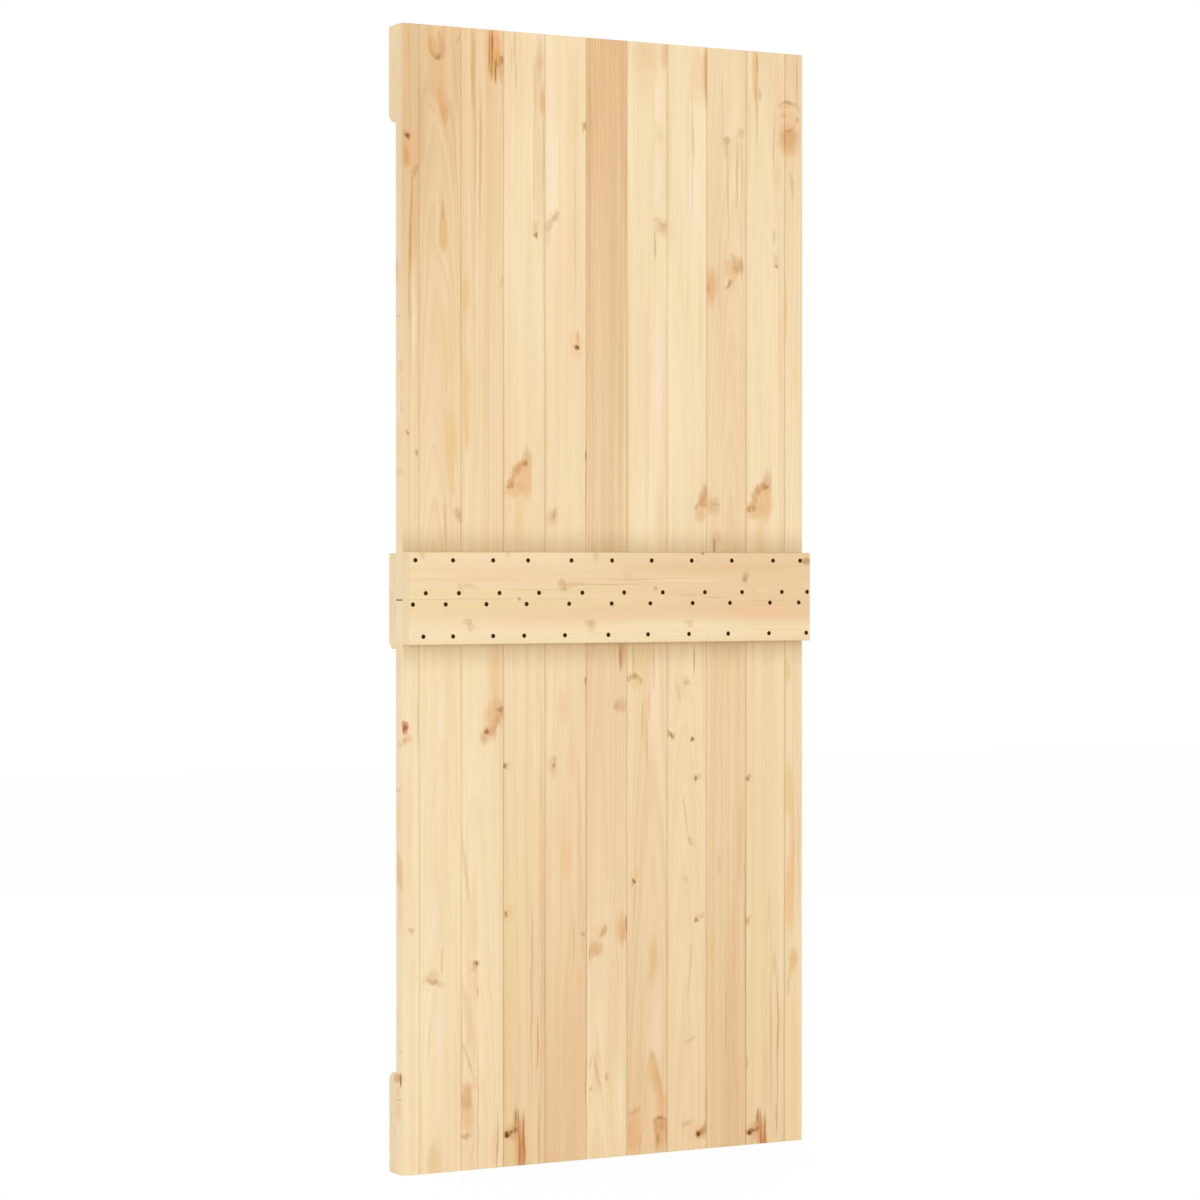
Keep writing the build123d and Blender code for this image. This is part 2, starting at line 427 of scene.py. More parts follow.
LOOKS["upper_plank_07"] = board(
    0.22, 0.12, flat(12, 55, 0.015), 4.6, 0.11,
    patch(478, 1930, 6, 200, CREAM, 0.7),
    patch(508, 2060, 20, 80, HONEY, 0.25, soft=1.0),
    patch(512, 2076, 42, 30, TAN, 0.4, soft=1.0),
    patch(552, 2080, 9, 28, PINK, 0.75),
    patch(541, 1928, 9, 17, MOSS, 0.25),
    blot(536, 1992, 8, 36, WHITE_PINK, 1.0),
    blot(536, 1845, 9, 64, WHITE_PINK, 1.0),
    patch(538, 1470, 9, 150, WHITE_PINK, 0.75),
    blot(538, 1764, 12, 8, TAN, 0.5),
    blot(547, 1752, 12, 17, linear(230, 194, 152), 0.85, push=3.0, soft=0.9),
    spot(550, 1756, 7, 7, linear(218, 174, 130), 0.6),
    streak(530.5, 1718, 2.4, 30, SHADE, 0.65),
    patch(540, 1200, 12, 60, SHADE, 0.2),
)
LOOKS["upper_plank_08"] = board(
    0.12, 0.1, flat(-25, 60, 0.012), 4.8, 0.15,
    patch(625, 2050, 18, 62, BLUSH, 0.75, soft=0.9),
    patch(643, 2045, 4.6, 62, BRONZE, 0.8, taper=-0.25, streaks=0.2, soft=0.7),
    patch(638, 2050, 4, 60, PEACH, 0.5),
    patch(616, 1915, 1.8, 46, MOSS, 0.55, lean=-0.04),
    blot(611, 1812, 5, 50, WHITE_PINK, 1.0),
    streak(612, 1930, 1.6, 170, SHADE, 0.4),
    patch(602, 1610, 5, 80, STRAW, 0.6),
    blot(602, 1390, 8, 180, CREAM, 0.6),
    blot(630, 1400, 7, 120, CREAM, 0.6),
    patch(632, 1213, 14, 14, AMBER, 0.4),
    patch(636, 1236, 12, 19, PINK, 0.9, soft=0.6),
    blot(630, 1209, 13, 12, TAN, 0.7),
    blot(641, 1264, 7, 12, TAN, 0.6),
    blot(642, 1253, 9, 12, linear(208, 166, 126), 0.85, soft=0.7),
    blot(636, 1237, 6, 11, linear(208, 150, 110), 0.75),
    blot(640, 1228, 8, 3.5, COPPER, 0.5),
    blot(624, 1226, 5, 9, BRONZE, 0.55, lean=0.5),
)
LOOKS["upper_plank_09"] = board(
    0.42, 0.5, flat(10, 42, 0.02), 4.0, 0.3,
    patch(688, 1905, 5, 18, SHADE, 0.5),
    spot(689, 1925, 7.5, 8.5, BRONZE, 0.5),
    streak(692, 1830, 1.8, 90, SHADE, 0.55, lean=-0.02),
    patch(722, 1943, 7.5, 9, SHADE, 0.65),
    streak(711.5, 1870, 2.2, 72, BRONZE, 0.4),
    streak(679, 1980, 2.6, 70, TAN, 0.7),
    streak(721, 1840, 1.8, 90, PINK, 0.5),
    patch(696, 1684, 12, 20, PINK, 0.6),
    blot(704, 1702, 5, 11, SHADE, 0.45, lean=-0.4),
    blot(703, 1672, 12, 20, PEACH, 0.4),
    blot(714, 1685, 13, 18, CLAY, 0.6, push=1.5, soft=1.0),
    spot(713, 1682, 4, 7, BRONZE, 0.35),
    blot(722.5, 1688, 4, 17, linear(206, 158, 112), 0.7),
    knot(694, 1650, 6, 12, body=0.6, colour=BRONZE, core=0.2, lean=0.2),
    blot(697, 1657, 8, 5, BRONZE, 0.45),
    blot(671, 1645, 5, 42, MOSS, 0.14),
    patch(655, 1645, 13, 36, CLAY, 0.5, push=3.0, soft=0.8),
    blot(655, 1648, 13, 32, PINK, 0.6),
    patch(648.5, 1642, 3.5, 12, BRONZE, 0.5),
    blot(649, 1230, 8, 24, PEACH, 0.65),
    patch(662, 1226, 14, 16, SHADE, 0.6, soft=0.7),
    spot(662, 1229, 10, 3.5, BRONZE, 0.3),
    patch(668, 1166, 10, 14, PINK, 0.6),
    streak(661.5, 1151, 3.0, 17, UMBER, 0.5),
)
LOOKS["upper_plank_10"] = board(
    0.3, 0.15, flat(-15, 50, 0.015), 4.5, 0.25,
    patch(741, 2055, 4, 55, CREAM, 0.8),
    patch(752, 2062, 9, 52, PEACH, 0.6, streaks=0.3),
    patch(753, 2060, 6, 48, AMBER, 0.5, streaks=0.5),
    streak(757, 2078, 1.8, 24, COPPER, 0.7),
    streak(755, 2020, 1.8, 40, CLAY, 0.5),
    patch(763, 2018, 4, 17, BRONZE, 0.45),
    streak(757.5, 1975, 1.6, 60, SHADE, 0.6),
    patch(806, 2035, 11, 60, BLUSH, 0.75),
    patch(804, 1868, 9, 26, BLUSH, 0.7),
    *split_knot(),
    streak(795, 1925, 2, 55, SHADE, 0.5),
    patch(795, 1748, 3.5, 12, MOSS, 0.55),
    patch(800, 1701, 6, 11, SHADE, 0.5),
    knot(800, 1689, 5, 4.5, body=0.7, colour=BRONZE, core=0.5),
    patch(753, 1595, 6, 30, MOSS, 0.15),
    *cluster(761, 1243),
)
LOOKS["upper_plank_11"] = board(
    0.4, 0.1, rift(60, 45), 4.0, 0.3,
    *split_knot(),
    streak(847, 2045, 2.2, 60, SHADE, 0.6),
    patch(836, 1850, 4.5, 26, SHADE, 0.6, lean=-0.15),
    patch(823, 1600, 3, 52, HONEY, 0.7),
    patch(843, 1478, 8, 36, STRAW, 0.8),
)

LOOKS["lower_plank_01"] = board(
    0.25, 0.15, rift(-80, 45), 4.2, 0.17,
    patch(14, 650, 7, 170, BLUSH, 0.35),
    patch(9, 797, 10, 10, PINK, 0.65),
    patch(3, 792, 6, 7, BRONZE, 0.5),
    spot(5, 817, 9.5, 14, linear(214, 152, 112), 0.95, push=3.0, soft=0.5),
    knot(5, 816, 6.5, 7.5, body=0.8, colour=linear(190, 118, 82), core=0.6, dark=RED_HEART),
    streak(30.5, 820, 1.6, 52, SHADE, 0.5),
    patch(17, 446, 6.5, 6, SHADE, 0.65),
    blot(-20, 152, 12, 13, BLUSH, 0.8),
    patch(-17, 116, 14, 18, PINK, 0.45),
    blot(-16, 137, 12, 2.2, SHADE, 0.6),
    blot(-22, 176, 21, 9.5, linear(224, 172, 118), 0.95, soft=0.6),
    streak(-9.0, 173, 4.2, 13.5, linear(160, 116, 70), 0.9),
    streak(-9, 228, 9, 2.0, SHADE, 0.5),
    patch(-22, 286, 9, 14, STRAW, 0.6),
    patch(-16, 945, 12, 34, HONEY, 0.35),
    blot(-10, 548, 13, 40, BLUSH, 0.8),
    blot(-15, 560, 11, 32, linear(228, 192, 142), 0.7, soft=0.6),
    blot(-7, 536, 7, 12, PEACH, 0.5),
    blot(-10, 480, 11, 24, BLUSH, 0.5),
    blot(-19, 650, 9, 44, STRAW, 0.6),
    spot(-20, 704, 9, 4, SHADE, 0.4),
    blot(-6, 706, 7, 10, PEACH, 0.3),
    blot(-12, 785, 11, 8, TAN, 0.5),
)
LOOKS["lower_plank_02"] = board(
    0.15, 0.1, flat(5, 60, 0.012), 4.8, 0.2,
    patch(80, 840, 7, 62, WHITE_PINK, 0.8),
    patch(74, 690, 7, 130, WHITE_PINK, 0.6),
    patch(61, 470, 10, 60, WHITE_PINK, 0.6),
    streak(80.5, 388, 2.4, 30, SHADE, 0.45),
    patch(62, 362, 16, 15, linear(222, 190, 136), 0.6, taper=0.4, push=4.0, soft=0.8),
    spot(52, 353, 10, 5, BRONZE, 0.35),
    spot(64, 349, 10, 5, BRONZE, 0.6),
    spot(76, 344, 9, 4.4, BRONZE, 0.35),
    streak(54, 240, 3, 50, MOSS, 0.22, lean=0.1),
    patch(75, 255, 8, 90, WHITE_PINK, 0.8),
    patch(73, 112, 8, 36, WHITE_PINK, 0.7),
    patch(63, 28, 14, 34, linear(226, 192, 140), 0.75, taper=0.3, push=4.0),
)
LOOKS["lower_plank_03"] = board(
    0.2, 0.25, flat(-12, 50, 0.02), 4.4, 0.22,
    patch(190, 905, 14, 60, HONEY, 0.65),
    patch(166, 791, 8, 10, PINK, 0.7),
    blot(188, 838, 22, 34, PINK, 0.85, lean=0.2, soft=0.9),
    blot(196, 858, 11, 11, linear(226, 186, 140), 0.6),
    blot(180, 804, 18, 15, PINK, 0.7, soft=0.7),
    blot(165, 796, 7, 14, SHADE, 0.5),
    patch(191, 819, 10, 15, linear(218, 164, 116), 0.65, lean=0.5, soft=0.7, push=3.0),
    blot(181, 807, 10, 8, linear(214, 164, 118), 0.55),
    patch(203, 840, 5, 10, CLAY, 0.75),
    blot(195.5, 832, 3, 12, COPPER, 0.5),
    knot(200.5, 847, 7.5, 6, body=0.75, colour=linear(190, 138, 98), core=0.15),
    knot(172, 807, 5.5, 7, colour=RUST, core=0.45),
    blot(130.5, 545, 4.2, 68, SHADE, 0.4, lean=-0.13),
    patch(148, 352, 9, 26, BLUSH, 0.6),
    patch(148, 373, 8, 9, SHADE, 0.5),
    knot(150.5, 381, 5.6, 6.6, colour=BRONZE, core=0.5),
    streak(153, 328, 1.8, 11, BRONZE, 0.5),
    flame(133, 285, 9, 62, TAN, 0.45, lean=-0.15, taper=0.3),
    blot(131, 211, 3.4, 36, SHADE, 0.33, lean=-0.36),
    patch(139, 188, 4, 22, SHADE, 0.3, lean=-0.3),
    streak(154, 115, 2, 120, SHADE, 0.45),
    patch(134, 156, 15, 10, PINK, 0.55),
    patch(133, 100, 15, 36, PINK, 0.65, soft=0.6),
    patch(131, 133, 13, 24, CLAY, 0.6, streaks=0.2, soft=0.6),
    blot(128, 63, 12, 6, BRONZE, 0.6),
    patch(188, 36, 7, 44, BLUSH, 0.8),
    streak(194, 40, 1.6, 60, BRONZE, 0.6),
    patch(141, 28, 3, 28, SHADE, 0.23, lean=0.3),
)
LOOKS["lower_plank_04"] = board(
    0.22, 0.52, rift(-55, 35), 3.8, 0.36,
    patch(217, 742, 6, 7, SHADE, 0.6),
    knot(210.8, 741, 3.2, 6, core=0.3),
    patch(220, 470, 11, 15, PINK, 0.5, lean=0.4),
    knot(211.2, 468, 3.6, 6.5, colour=RUST, core=0.35),
    patch(265, 640, 10, 260, STRAW, 0.35),
    patch(236, 560, 26, 330, STRAW, 0.22, streaks=0.2, soft=1.0),
    patch(283, 300, 12, 200, BLUSH, 0.3, soft=1.0),
    patch(292.5, 340, 3.5, 170, BRONZE, 0.35, soft=1.0),
    streak(268.5, 380, 1.6, 110, BRONZE, 0.35),
    patch(288, 610, 5, 240, AMBER, 0.4, streaks=0.3),
    streak(271, 760, 1.8, 44, CREAM, 0.6),
    streak(271, 330, 2.4, 120, BLUSH, 0.6),
    patch(272, 330, 4, 90, BLUSH, 0.5),
    patch(278.5, 225, 2.4, 60, CLAY, 0.75, streaks=0.3),
    streak(267, 260, 1.5, 170, SHADE, 0.45),
    streak(286.5, 300, 1.6, 190, SHADE, 0.45),
    patch(274, 170, 3, 120, PEACH, 0.3, streaks=0.2),
    streak(265, 330, 1.5, 120, BRONZE, 0.3),
    patch(282, 55, 3, 80, CLAY, 0.6, streaks=0.3, soft=0.6),
    *resin_pocket(213.6, 59),
)
LOOKS["lower_plank_05"] = board(
    0.3, 0.72, flat(14, 46, 0.02), 4.4, 0.3,
    patch(309, 738, 11, 19, SHADE, 0.4),
    patch(314, 752, 6, 5, SHADE, 0.6),
    knot(313, 740, 3.6, 6.5, body=0.65, colour=BRONZE, core=0.15),
    patch(333, 850, 11, 32, PEACH, 0.4),
    patch(300, 570, 5, 62, BLUSH, 0.7),
    blot(338, 590, 17, 70, BLUSH, 0.6),
    blot(340, 560, 12, 40, PEACH, 0.35),
    patch(353, 742, 9, 30, PEACH, 0.3),
    patch(367, 600, 4, 230, AMBER, 0.35),
    streak(355, 400, 1.8, 60, BRONZE, 0.35),
    patch(348, 200, 30, 190, PINK, 0.35),
    patch(370, 340, 6, 22, PEACH, 0.5),
    patch(375, 400, 7, 24, PINK, 0.4),
    patch(374.5, 423, 5.5, 5.5, BRONZE, 0.65),
    streak(381, 870, 1.8, 34, BRONZE, 0.35),
    spot(381, 898, 3.4, 8.5, BRONZE, 0.75),
    spot(381.4, 898, 1.8, 5, UMBER, 0.5),
    streak(381.5, 150, 1.6, 60, BRONZE, 0.45),
)
LOOKS["lower_plank_06"] = board(
    0.48, 0.27, flat(-18, 50, 0.015), 4.2, 0.42,
    patch(462, 948, 5, 26, CLAY, 0.6),
    patch(456, 944, 4.2, 30, BRONZE, 0.8),
    streak(454.5, 936, 1.6, 22, UMBER, 0.6),
    blot(457, 852, 15, 14, linear(224, 184, 144), 0.85, push=4.0, soft=1.0),
    spot(447, 848, 8, 9, linear(214, 168, 124), 0.6),
    spot(463, 845, 5, 8, linear(216, 176, 134), 0.45),
    patch(409, 424, 11, 18, PEACH, 0.35),
    patch(402, 394, 14.5, 16, CLAY, 0.6, push=3.0, streaks=0.2, soft=0.6),
    streak(390, 385, 2.4, 12, BRONZE, 0.6),
    patch(419, 426, 7, 10.5, BRONZE, 0.65, lean=0.35, streaks=0.2, soft=0.7),
    blot(460, 431, 14, 31, linear(226, 174, 118), 0.65, push=3.0, soft=0.9),
    blot(463, 418, 9, 18, CLAY, 0.35, soft=1.0),
    streak(467.6, 436, 2.4, 15, UMBER, 0.65),
    patch(426, 153, 4.5, 9, BRONZE, 0.6),
    patch(404, 195, 3, 60, HONEY, 0.5),
    streak(403, 162, 2.2, 40, TAN, 0.8, lean=-0.2),
    patch(392, 132, 5, 5, SHADE, 0.6),
    streak(391, 178, 1.5, 18, SHADE, 0.6, lean=0.1),
    streak(409, 150, 1.5, 28, SHADE, 0.5, lean=-0.2),
    patch(450, 100, 12, 90, CREAM, 0.6),
    # A painted highlight: a thin light line just right of the seam at the board's left edge
    spot(387.2, 230, 2.0, 330, CREAM, 0.85),
)
LOOKS["lower_plank_07"] = board(
    0.32, 0.61, flat(8, 44, 0.028), 4.2, 0.35,
    patch(506, 932, 22, 40, HONEY, 0.35, soft=1.0),
    blot(490, 890, 13, 14, HONEY, 0.35),
    spot(477, 899, 8, 6.5, SHADE, 0.7, lean=0.7),
    spot(499, 898, 7, 7, SHADE, 0.6, lean=-0.7),
    spot(488, 905, 9, 6.5, BRONZE, 0.65, push=3.0),
    spot(488, 907, 5, 3.4, UMBER, 0.3),
    streak(484, 936, 2, 30, SHADE, 0.6),
    streak(527.5, 920, 2.6, 50, SHADE, 0.6),
    patch(530, 870, 8, 90, WHITE_PINK, 0.5),
    patch(511, 800, 5, 62, linear(236, 192, 138), 0.7, soft=0.8),
    blot(519, 856, 4.5, 36, BLUSH, 0.8),
    blot(517, 850, 2.5, 30, PINK, 0.45),
    streak(503, 818, 1.6, 38, SHADE, 0.6),
    streak(514, 775, 1.8, 50, CLAY, 0.4),
    streak(486, 480, 2.4, 42, SHADE, 0.35),
    blot(489, 530, 6, 17, PEACH, 0.55),
    knot(484.5, 517, 4.5, 6, colour=BRONZE, core=0.7),
    patch(526, 545, 10, 62, TAN, 0.35),
    patch(527, 368, 11, 50, AMBER, 0.55, taper=0.2, push=3.0, soft=0.8),
    patch(536, 250, 12, 96, WHITE_PINK, 0.5),
    patch(506, 120, 30, 70, TAN, 0.35),
    blot(528, 158, 12, 36, AMBER, 0.5, lean=-0.1),
    patch(525, 183, 5.5, 11, MOSS, 0.35),
    blot(538, 128, 11, 50, PINK, 0.65, lean=-0.2),
    blot(541, 132, 3.5, 34, CLAY, 0.4, lean=-0.22),
    blot(546, 86, 13, 32, PINK, 0.6, soft=1.0),
    patch(485, 42, 16, 50, PINK, 0.9),
    patch(486, 84, 11, 9, CLAY, 0.5, lean=1.2),
    patch(543, 34, 15, 38, CLAY, 0.6, push=4.0, streaks=0.2, soft=1.0),
    blot(546, 52, 9, 13, COPPER, 0.4),
    blot(533, 34, 5, 34, CLAY, 0.5),
    blot(537, 27, 4, 12, RUST, 0.5),
    patch(530, 50, 4, 20, COPPER, 0.6),
    blot(543, 54, 13, 14, CLAY, 0.5),
    blot(541, 66, 9, 4.6, BRONZE, 0.75, soft=0.7),
    blot(532, 63.5, 6, 3.8, BRONZE, 0.45, lean=1.1),
    blot(550.5, 62.5, 6.5, 3.8, BRONZE, 0.6, lean=-1.3),
    spot(541, 66.5, 6, 2.2, UMBER, 0.4),
    streak(556, 36, 2.4, 24, RUST, 0.4),
    blot(517, 30, 13, 40, BLUSH, 0.5),
    streak(498, 22, 3, 22, BRONZE, 0.3, lean=0.2),
    streak(477, 40, 2, 40, CLAY, 0.4),
)
LOOKS["lower_plank_08"] = board(
    0.25, 0.4, flat(-6, 46, 0.03), 4.6, 0.3,
    blot(599, 893, 10, 7, TAN, 0.8, push=5.0),
    spot(601, 891, 6, 4, SHADE, 0.4),
    patch(581, 876, 5, 24, SHADE, 0.3, lean=-0.2),
    patch(596, 872, 9, 16, BLUSH, 0.4),
    streak(617, 935, 2, 30, BRONZE, 0.6),
    knot(566.5, 793, 6, 8, body=0.7, colour=BRONZE, core=0.45, lean=-0.3),
    knot(612, 783, 4.4, 4.8, core=0.4),
    patch(629, 712, 7, 6, BRONZE, 0.35),
    knot(620.5, 709, 4.2, 7, colour=BRONZE, core=0.35),
    streak(597, 642, 3, 52, MOSS, 0.35, lean=-0.16),
    patch(610, 588, 5, 10, SHADE, 0.6, lean=-0.5),
    patch(598, 518, 5, 7, SHADE, 0.45, lean=-0.5),
    patch(632, 444, 10, 7, TAN, 0.8, lean=0.5),
    knot(622, 436, 5.5, 5.5, body=0.6, colour=BRONZE, core=0.4),
    streak(608, 345, 2.6, 62, SHADE, 0.4, lean=0.06),
    blot(608, 210, 9, 7, SHADE, 0.4, lean=0.9),
    blot(602, 51, 10, 8, SHADE, 0.6, lean=0.9),
    patch(614, 36, 24, 28, BLUSH, 0.5),
    patch(632, 32, 15, 17, PEACH, 0.6),
    patch(636, 34, 9, 13, COPPER, 0.65, soft=0.6),
    spot(634, 33, 5, 5, UMBER, 0.45),
    patch(641, 42, 4, 12, BRONZE, 0.6),
    knot(626.5, 28, 8, 7.5, body=0.8, colour=UMBER, core=0.9, dark=BLACK),
    streak(643.5, 80, 2, 52, BRONZE, 0.5),
)
LOOKS["lower_plank_09"] = board(
    0.56, 0.78, rift(-55, 28, 0.008), 3.4, 0.42,
    patch(660, 385, 5, 62, AMBER, 0.35, streaks=0.4),
    patch(658, 255, 7, 62, PEACH, 0.5, streaks=0.4),
    patch(706, 400, 4, 100, PINK, 0.6, streaks=0.5),
    patch(719, 580, 5, 90, CLAY, 0.35, streaks=0.5),
    patch(726, 640, 4, 44, PEACH, 0.6),
    patch(700, 240, 9, 200, CLAY, 0.25, streaks=0.6),
    patch(673, 540, 4, 22, SHADE, 0.5),
    streak(688, 240, 1.8, 80, BRONZE, 0.3),
    streak(730.6, 400, 1.8, 220, BRONZE, 0.5),
)
LOOKS["lower_plank_10"] = board(
    0.18, 0.46, rift(75, 40), 4.2, 0.34,
    patch(743, 707, 6, 5, BRONZE, 0.4),
    knot(736.5, 704, 5.2, 7, body=0.75, colour=BRONZE, core=0.45),
    patch(745, 438, 9, 6, TAN, 0.6, lean=1.0),
    blot(736.6, 429, 5, 8, BRONZE, 0.7),
    patch(765, 690, 30, 250, STRAW, 0.3, streaks=0.2, soft=1.0),
    patch(768, 300, 28, 210, STRAW, 0.45, streaks=0.2, soft=1.0),
    patch(777, 140, 7, 60, TAN, 0.5),
    streak(787, 230, 1.5, 110, BRONZE, 0.35),
    streak(789.5, 285, 1.5, 50, CREAM, 0.6),
    streak(785, 455, 1.5, 40, BRONZE, 0.3),
    patch(797, 345, 4, 30, BRONZE, 0.3),
    patch(806, 240, 6, 80, PINK, 0.4),
    streak(801, 45, 2.0, 34, BRONZE, 0.45),
    streak(790, 250, 1.6, 200, BRONZE, 0.35),
    patch(803, 205, 2.6, 44, PEACH, 0.7),
    streak(804, 180, 1.8, 160, BRONZE, 0.5),
    patch(735, 160, 4, 14, SHADE, 0.6),
    *resin_pocket(739.5, 22),
)
LOOKS["lower_plank_11"] = board(
    0.22, 0.35, rift(-60, 40), 4.0, 0.3,
    blot(825, 910, 9, 24, linear(222, 200, 128), 0.7),
    patch(829, 685, 11, 60, linear(230, 200, 136), 0.85, taper=0.2, soft=0.8),
    patch(840, 600, 6, 100, PEACH, 0.6),
    patch(836, 530, 9, 70, PEACH, 0.6),
    blot(831, 470, 14, 66, linear(238, 196, 142), 0.9),
    blot(841, 352, 10, 22, linear(232, 188, 130), 1.0, push=3.0, soft=1.0),
    patch(835, 332, 5, 24, HONEY, 0.7, lean=0.2),
    patch(829, 298, 3, 22, SHADE, 0.5),
    patch(852, 560, 4, 120, MOSS, 0.25),
    patch(841, 150, 14, 170, BLUSH, 0.55),
)

LOOKS["back_middle_rail"] = board(
    0.64, 0.26, flat(-10, 60, 0.008), 5.0, 0.12,
    patch(430, 989, 1000, 24, CREAM, 0.75, streaks=0.2),
    blot(795, 1053, 110, 90, HONEY, 0.15, soft=1.0),
    patch(150, 1105, 150, 12, BLUSH, 0.35),
    patch(740, 1024, 110, 13, BLUSH, 0.75, streaks=0.2),
    patch(270, 1004, 220, 16, BLUSH, 0.22, streaks=0.2),
    patch(640, 1096, 170, 14, BLUSH, 0.22, streaks=0.2),
    patch(640, 1110, 200, 10, TAN, 0.5),
    patch(104, 1074, 9, 5, BRONZE, 0.28, lean=-1.2),
    patch(121, 1077, 13, 4.5, CLAY, 0.35),
    patch(136, 1072, 8, 3, BRONZE, 0.22),
    blot(317, 1078, 9, 10, BRONZE, 0.5, push=4.0),
    patch(332, 1075, 10, 5, PINK, 0.6),
    patch(321, 1069, 6, 2.4, UMBER, 0.4),
    patch(350, 1079, 20, 4, PINK, 0.55),
    streak(400, 1077.5, 75, 1.2, BRONZE, 0.3),
    streak(250, 1068, 90, 1.1, BRONZE, 0.2),
    spot(225, 1052, 3, 3.6, UMBER, 0.5),
    streak(110, 1051.6, 115, 0.9, BRONZE, 0.3),
    streak(330, 1051.0, 100, 0.7, BRONZE, 0.18),
    blot(118, 1009, 12, 5.5, BRONZE, 0.3),
    blot(124, 1001, 6.5, 11, BRONZE, 0.32),
    blot(373, 1007, 12, 5.5, BRONZE, 0.32),
    blot(379, 1000, 9, 12, BRONZE, 0.32),
    patch(26, 1134, 6, 8, BRONZE, 0.3, lean=-0.8),
    patch(203, 1134, 4, 7, BRONZE, 0.35),
    patch(387, 1131, 6, 10, BRONZE, 0.34, lean=-0.5),
    spot(516, 1070, 4.5, 4.5, BRONZE, 0.55),
    blot(714, 1091, 8, 12, linear(204, 164, 122), 0.8, push=3.0),
    spot(714, 1087, 6, 2.4, UMBER, 0.4),
    patch(716, 1076, 8, 4, TAN, 0.6),
    patch(735, 1067, 6, 5, TAN, 0.75),
    patch(588, 1008, 11, 3.5, BRONZE, 0.32),
    patch(592, 1001, 8, 7, TAN, 0.6),
    patch(610, 1121, 6, 3, TAN, 0.8),
    knot(621, 1136, 4, 3.2, body=0.7, colour=UMBER, core=0.3),
    patch(632, 1139, 9, 2.4, BRONZE, 0.5),
    spot(852, 1122, 10, 7, linear(196, 152, 94), 0.9),
    patch(633, 984, 4, 3, TAN, 0.7),
    streak(470, 1087.5, 60, 1.6, PINK, 0.6),
    streak(580, 1084.5, 85, 1.6, CREAM, 0.6),
    streak(590, 1057, 34, 1.6, BRONZE, 0.3),
    streak(645, 1053, 22, 1.2, BRONZE, 0.25),
    streak(736, 1046, 60, 0.9, BRONZE, 0.25),
    patch(455, 1094, 14, 5, TAN, 0.6),
)

LOOKS["front_top_rail"] = board(
    0.35, 0.5, flat(20, 55, 0.012), 4.6, 0.4,
    patch(212, 2032, 34, 13, BLUSH, 0.6),
    knot(212, 2032, 11, 9, colour=RUST, core=0.5),
    knot(655, 1968, 6, 5),
    patch(672, 1972, 16, 4, TAN, 0.6),
    patch(430, 1990, 180, 10, TAN, 0.4),
    streak(520, 2062, 130, 1.4, BRONZE, 0.3),
    patch(130, 1962, 90, 8, STRAW, 0.5),
)
LOOKS["front_middle_rail"] = board(
    0.4, 0.3, flat(-22, 50, 0.010), 4.4, 0.4,
    knot(310, 1085, 7, 6),
    patch(742, 1012, 36, 13, BLUSH, 0.6),
    knot(742, 1012, 12, 9, colour=RUST, core=0.5),
    patch(600, 1050, 160, 9, PINK, 0.4),
    streak(240, 1030, 120, 1.3, BRONZE, 0.3),
    patch(120, 1098, 70, 7, STRAW, 0.5),
)
LOOKS["front_bottom_rail"] = board(
    0.15, 0.3, flat(12, 60, 0.014), 4.8, 0.4,
    patch(0, 175, 9, 9, COPPER, 0.7, deep=8.0),
    patch(128, 66, 26, 10, BLUSH, 0.6),
    knot(128, 66, 9, 7, colour=RUST, core=0.6),
    streak(610, 62, 140, 1.4, BRONZE, 0.3),
    knot(548, 118, 5, 4.5),
    patch(350, 40, 190, 9, TAN, 0.4),
)


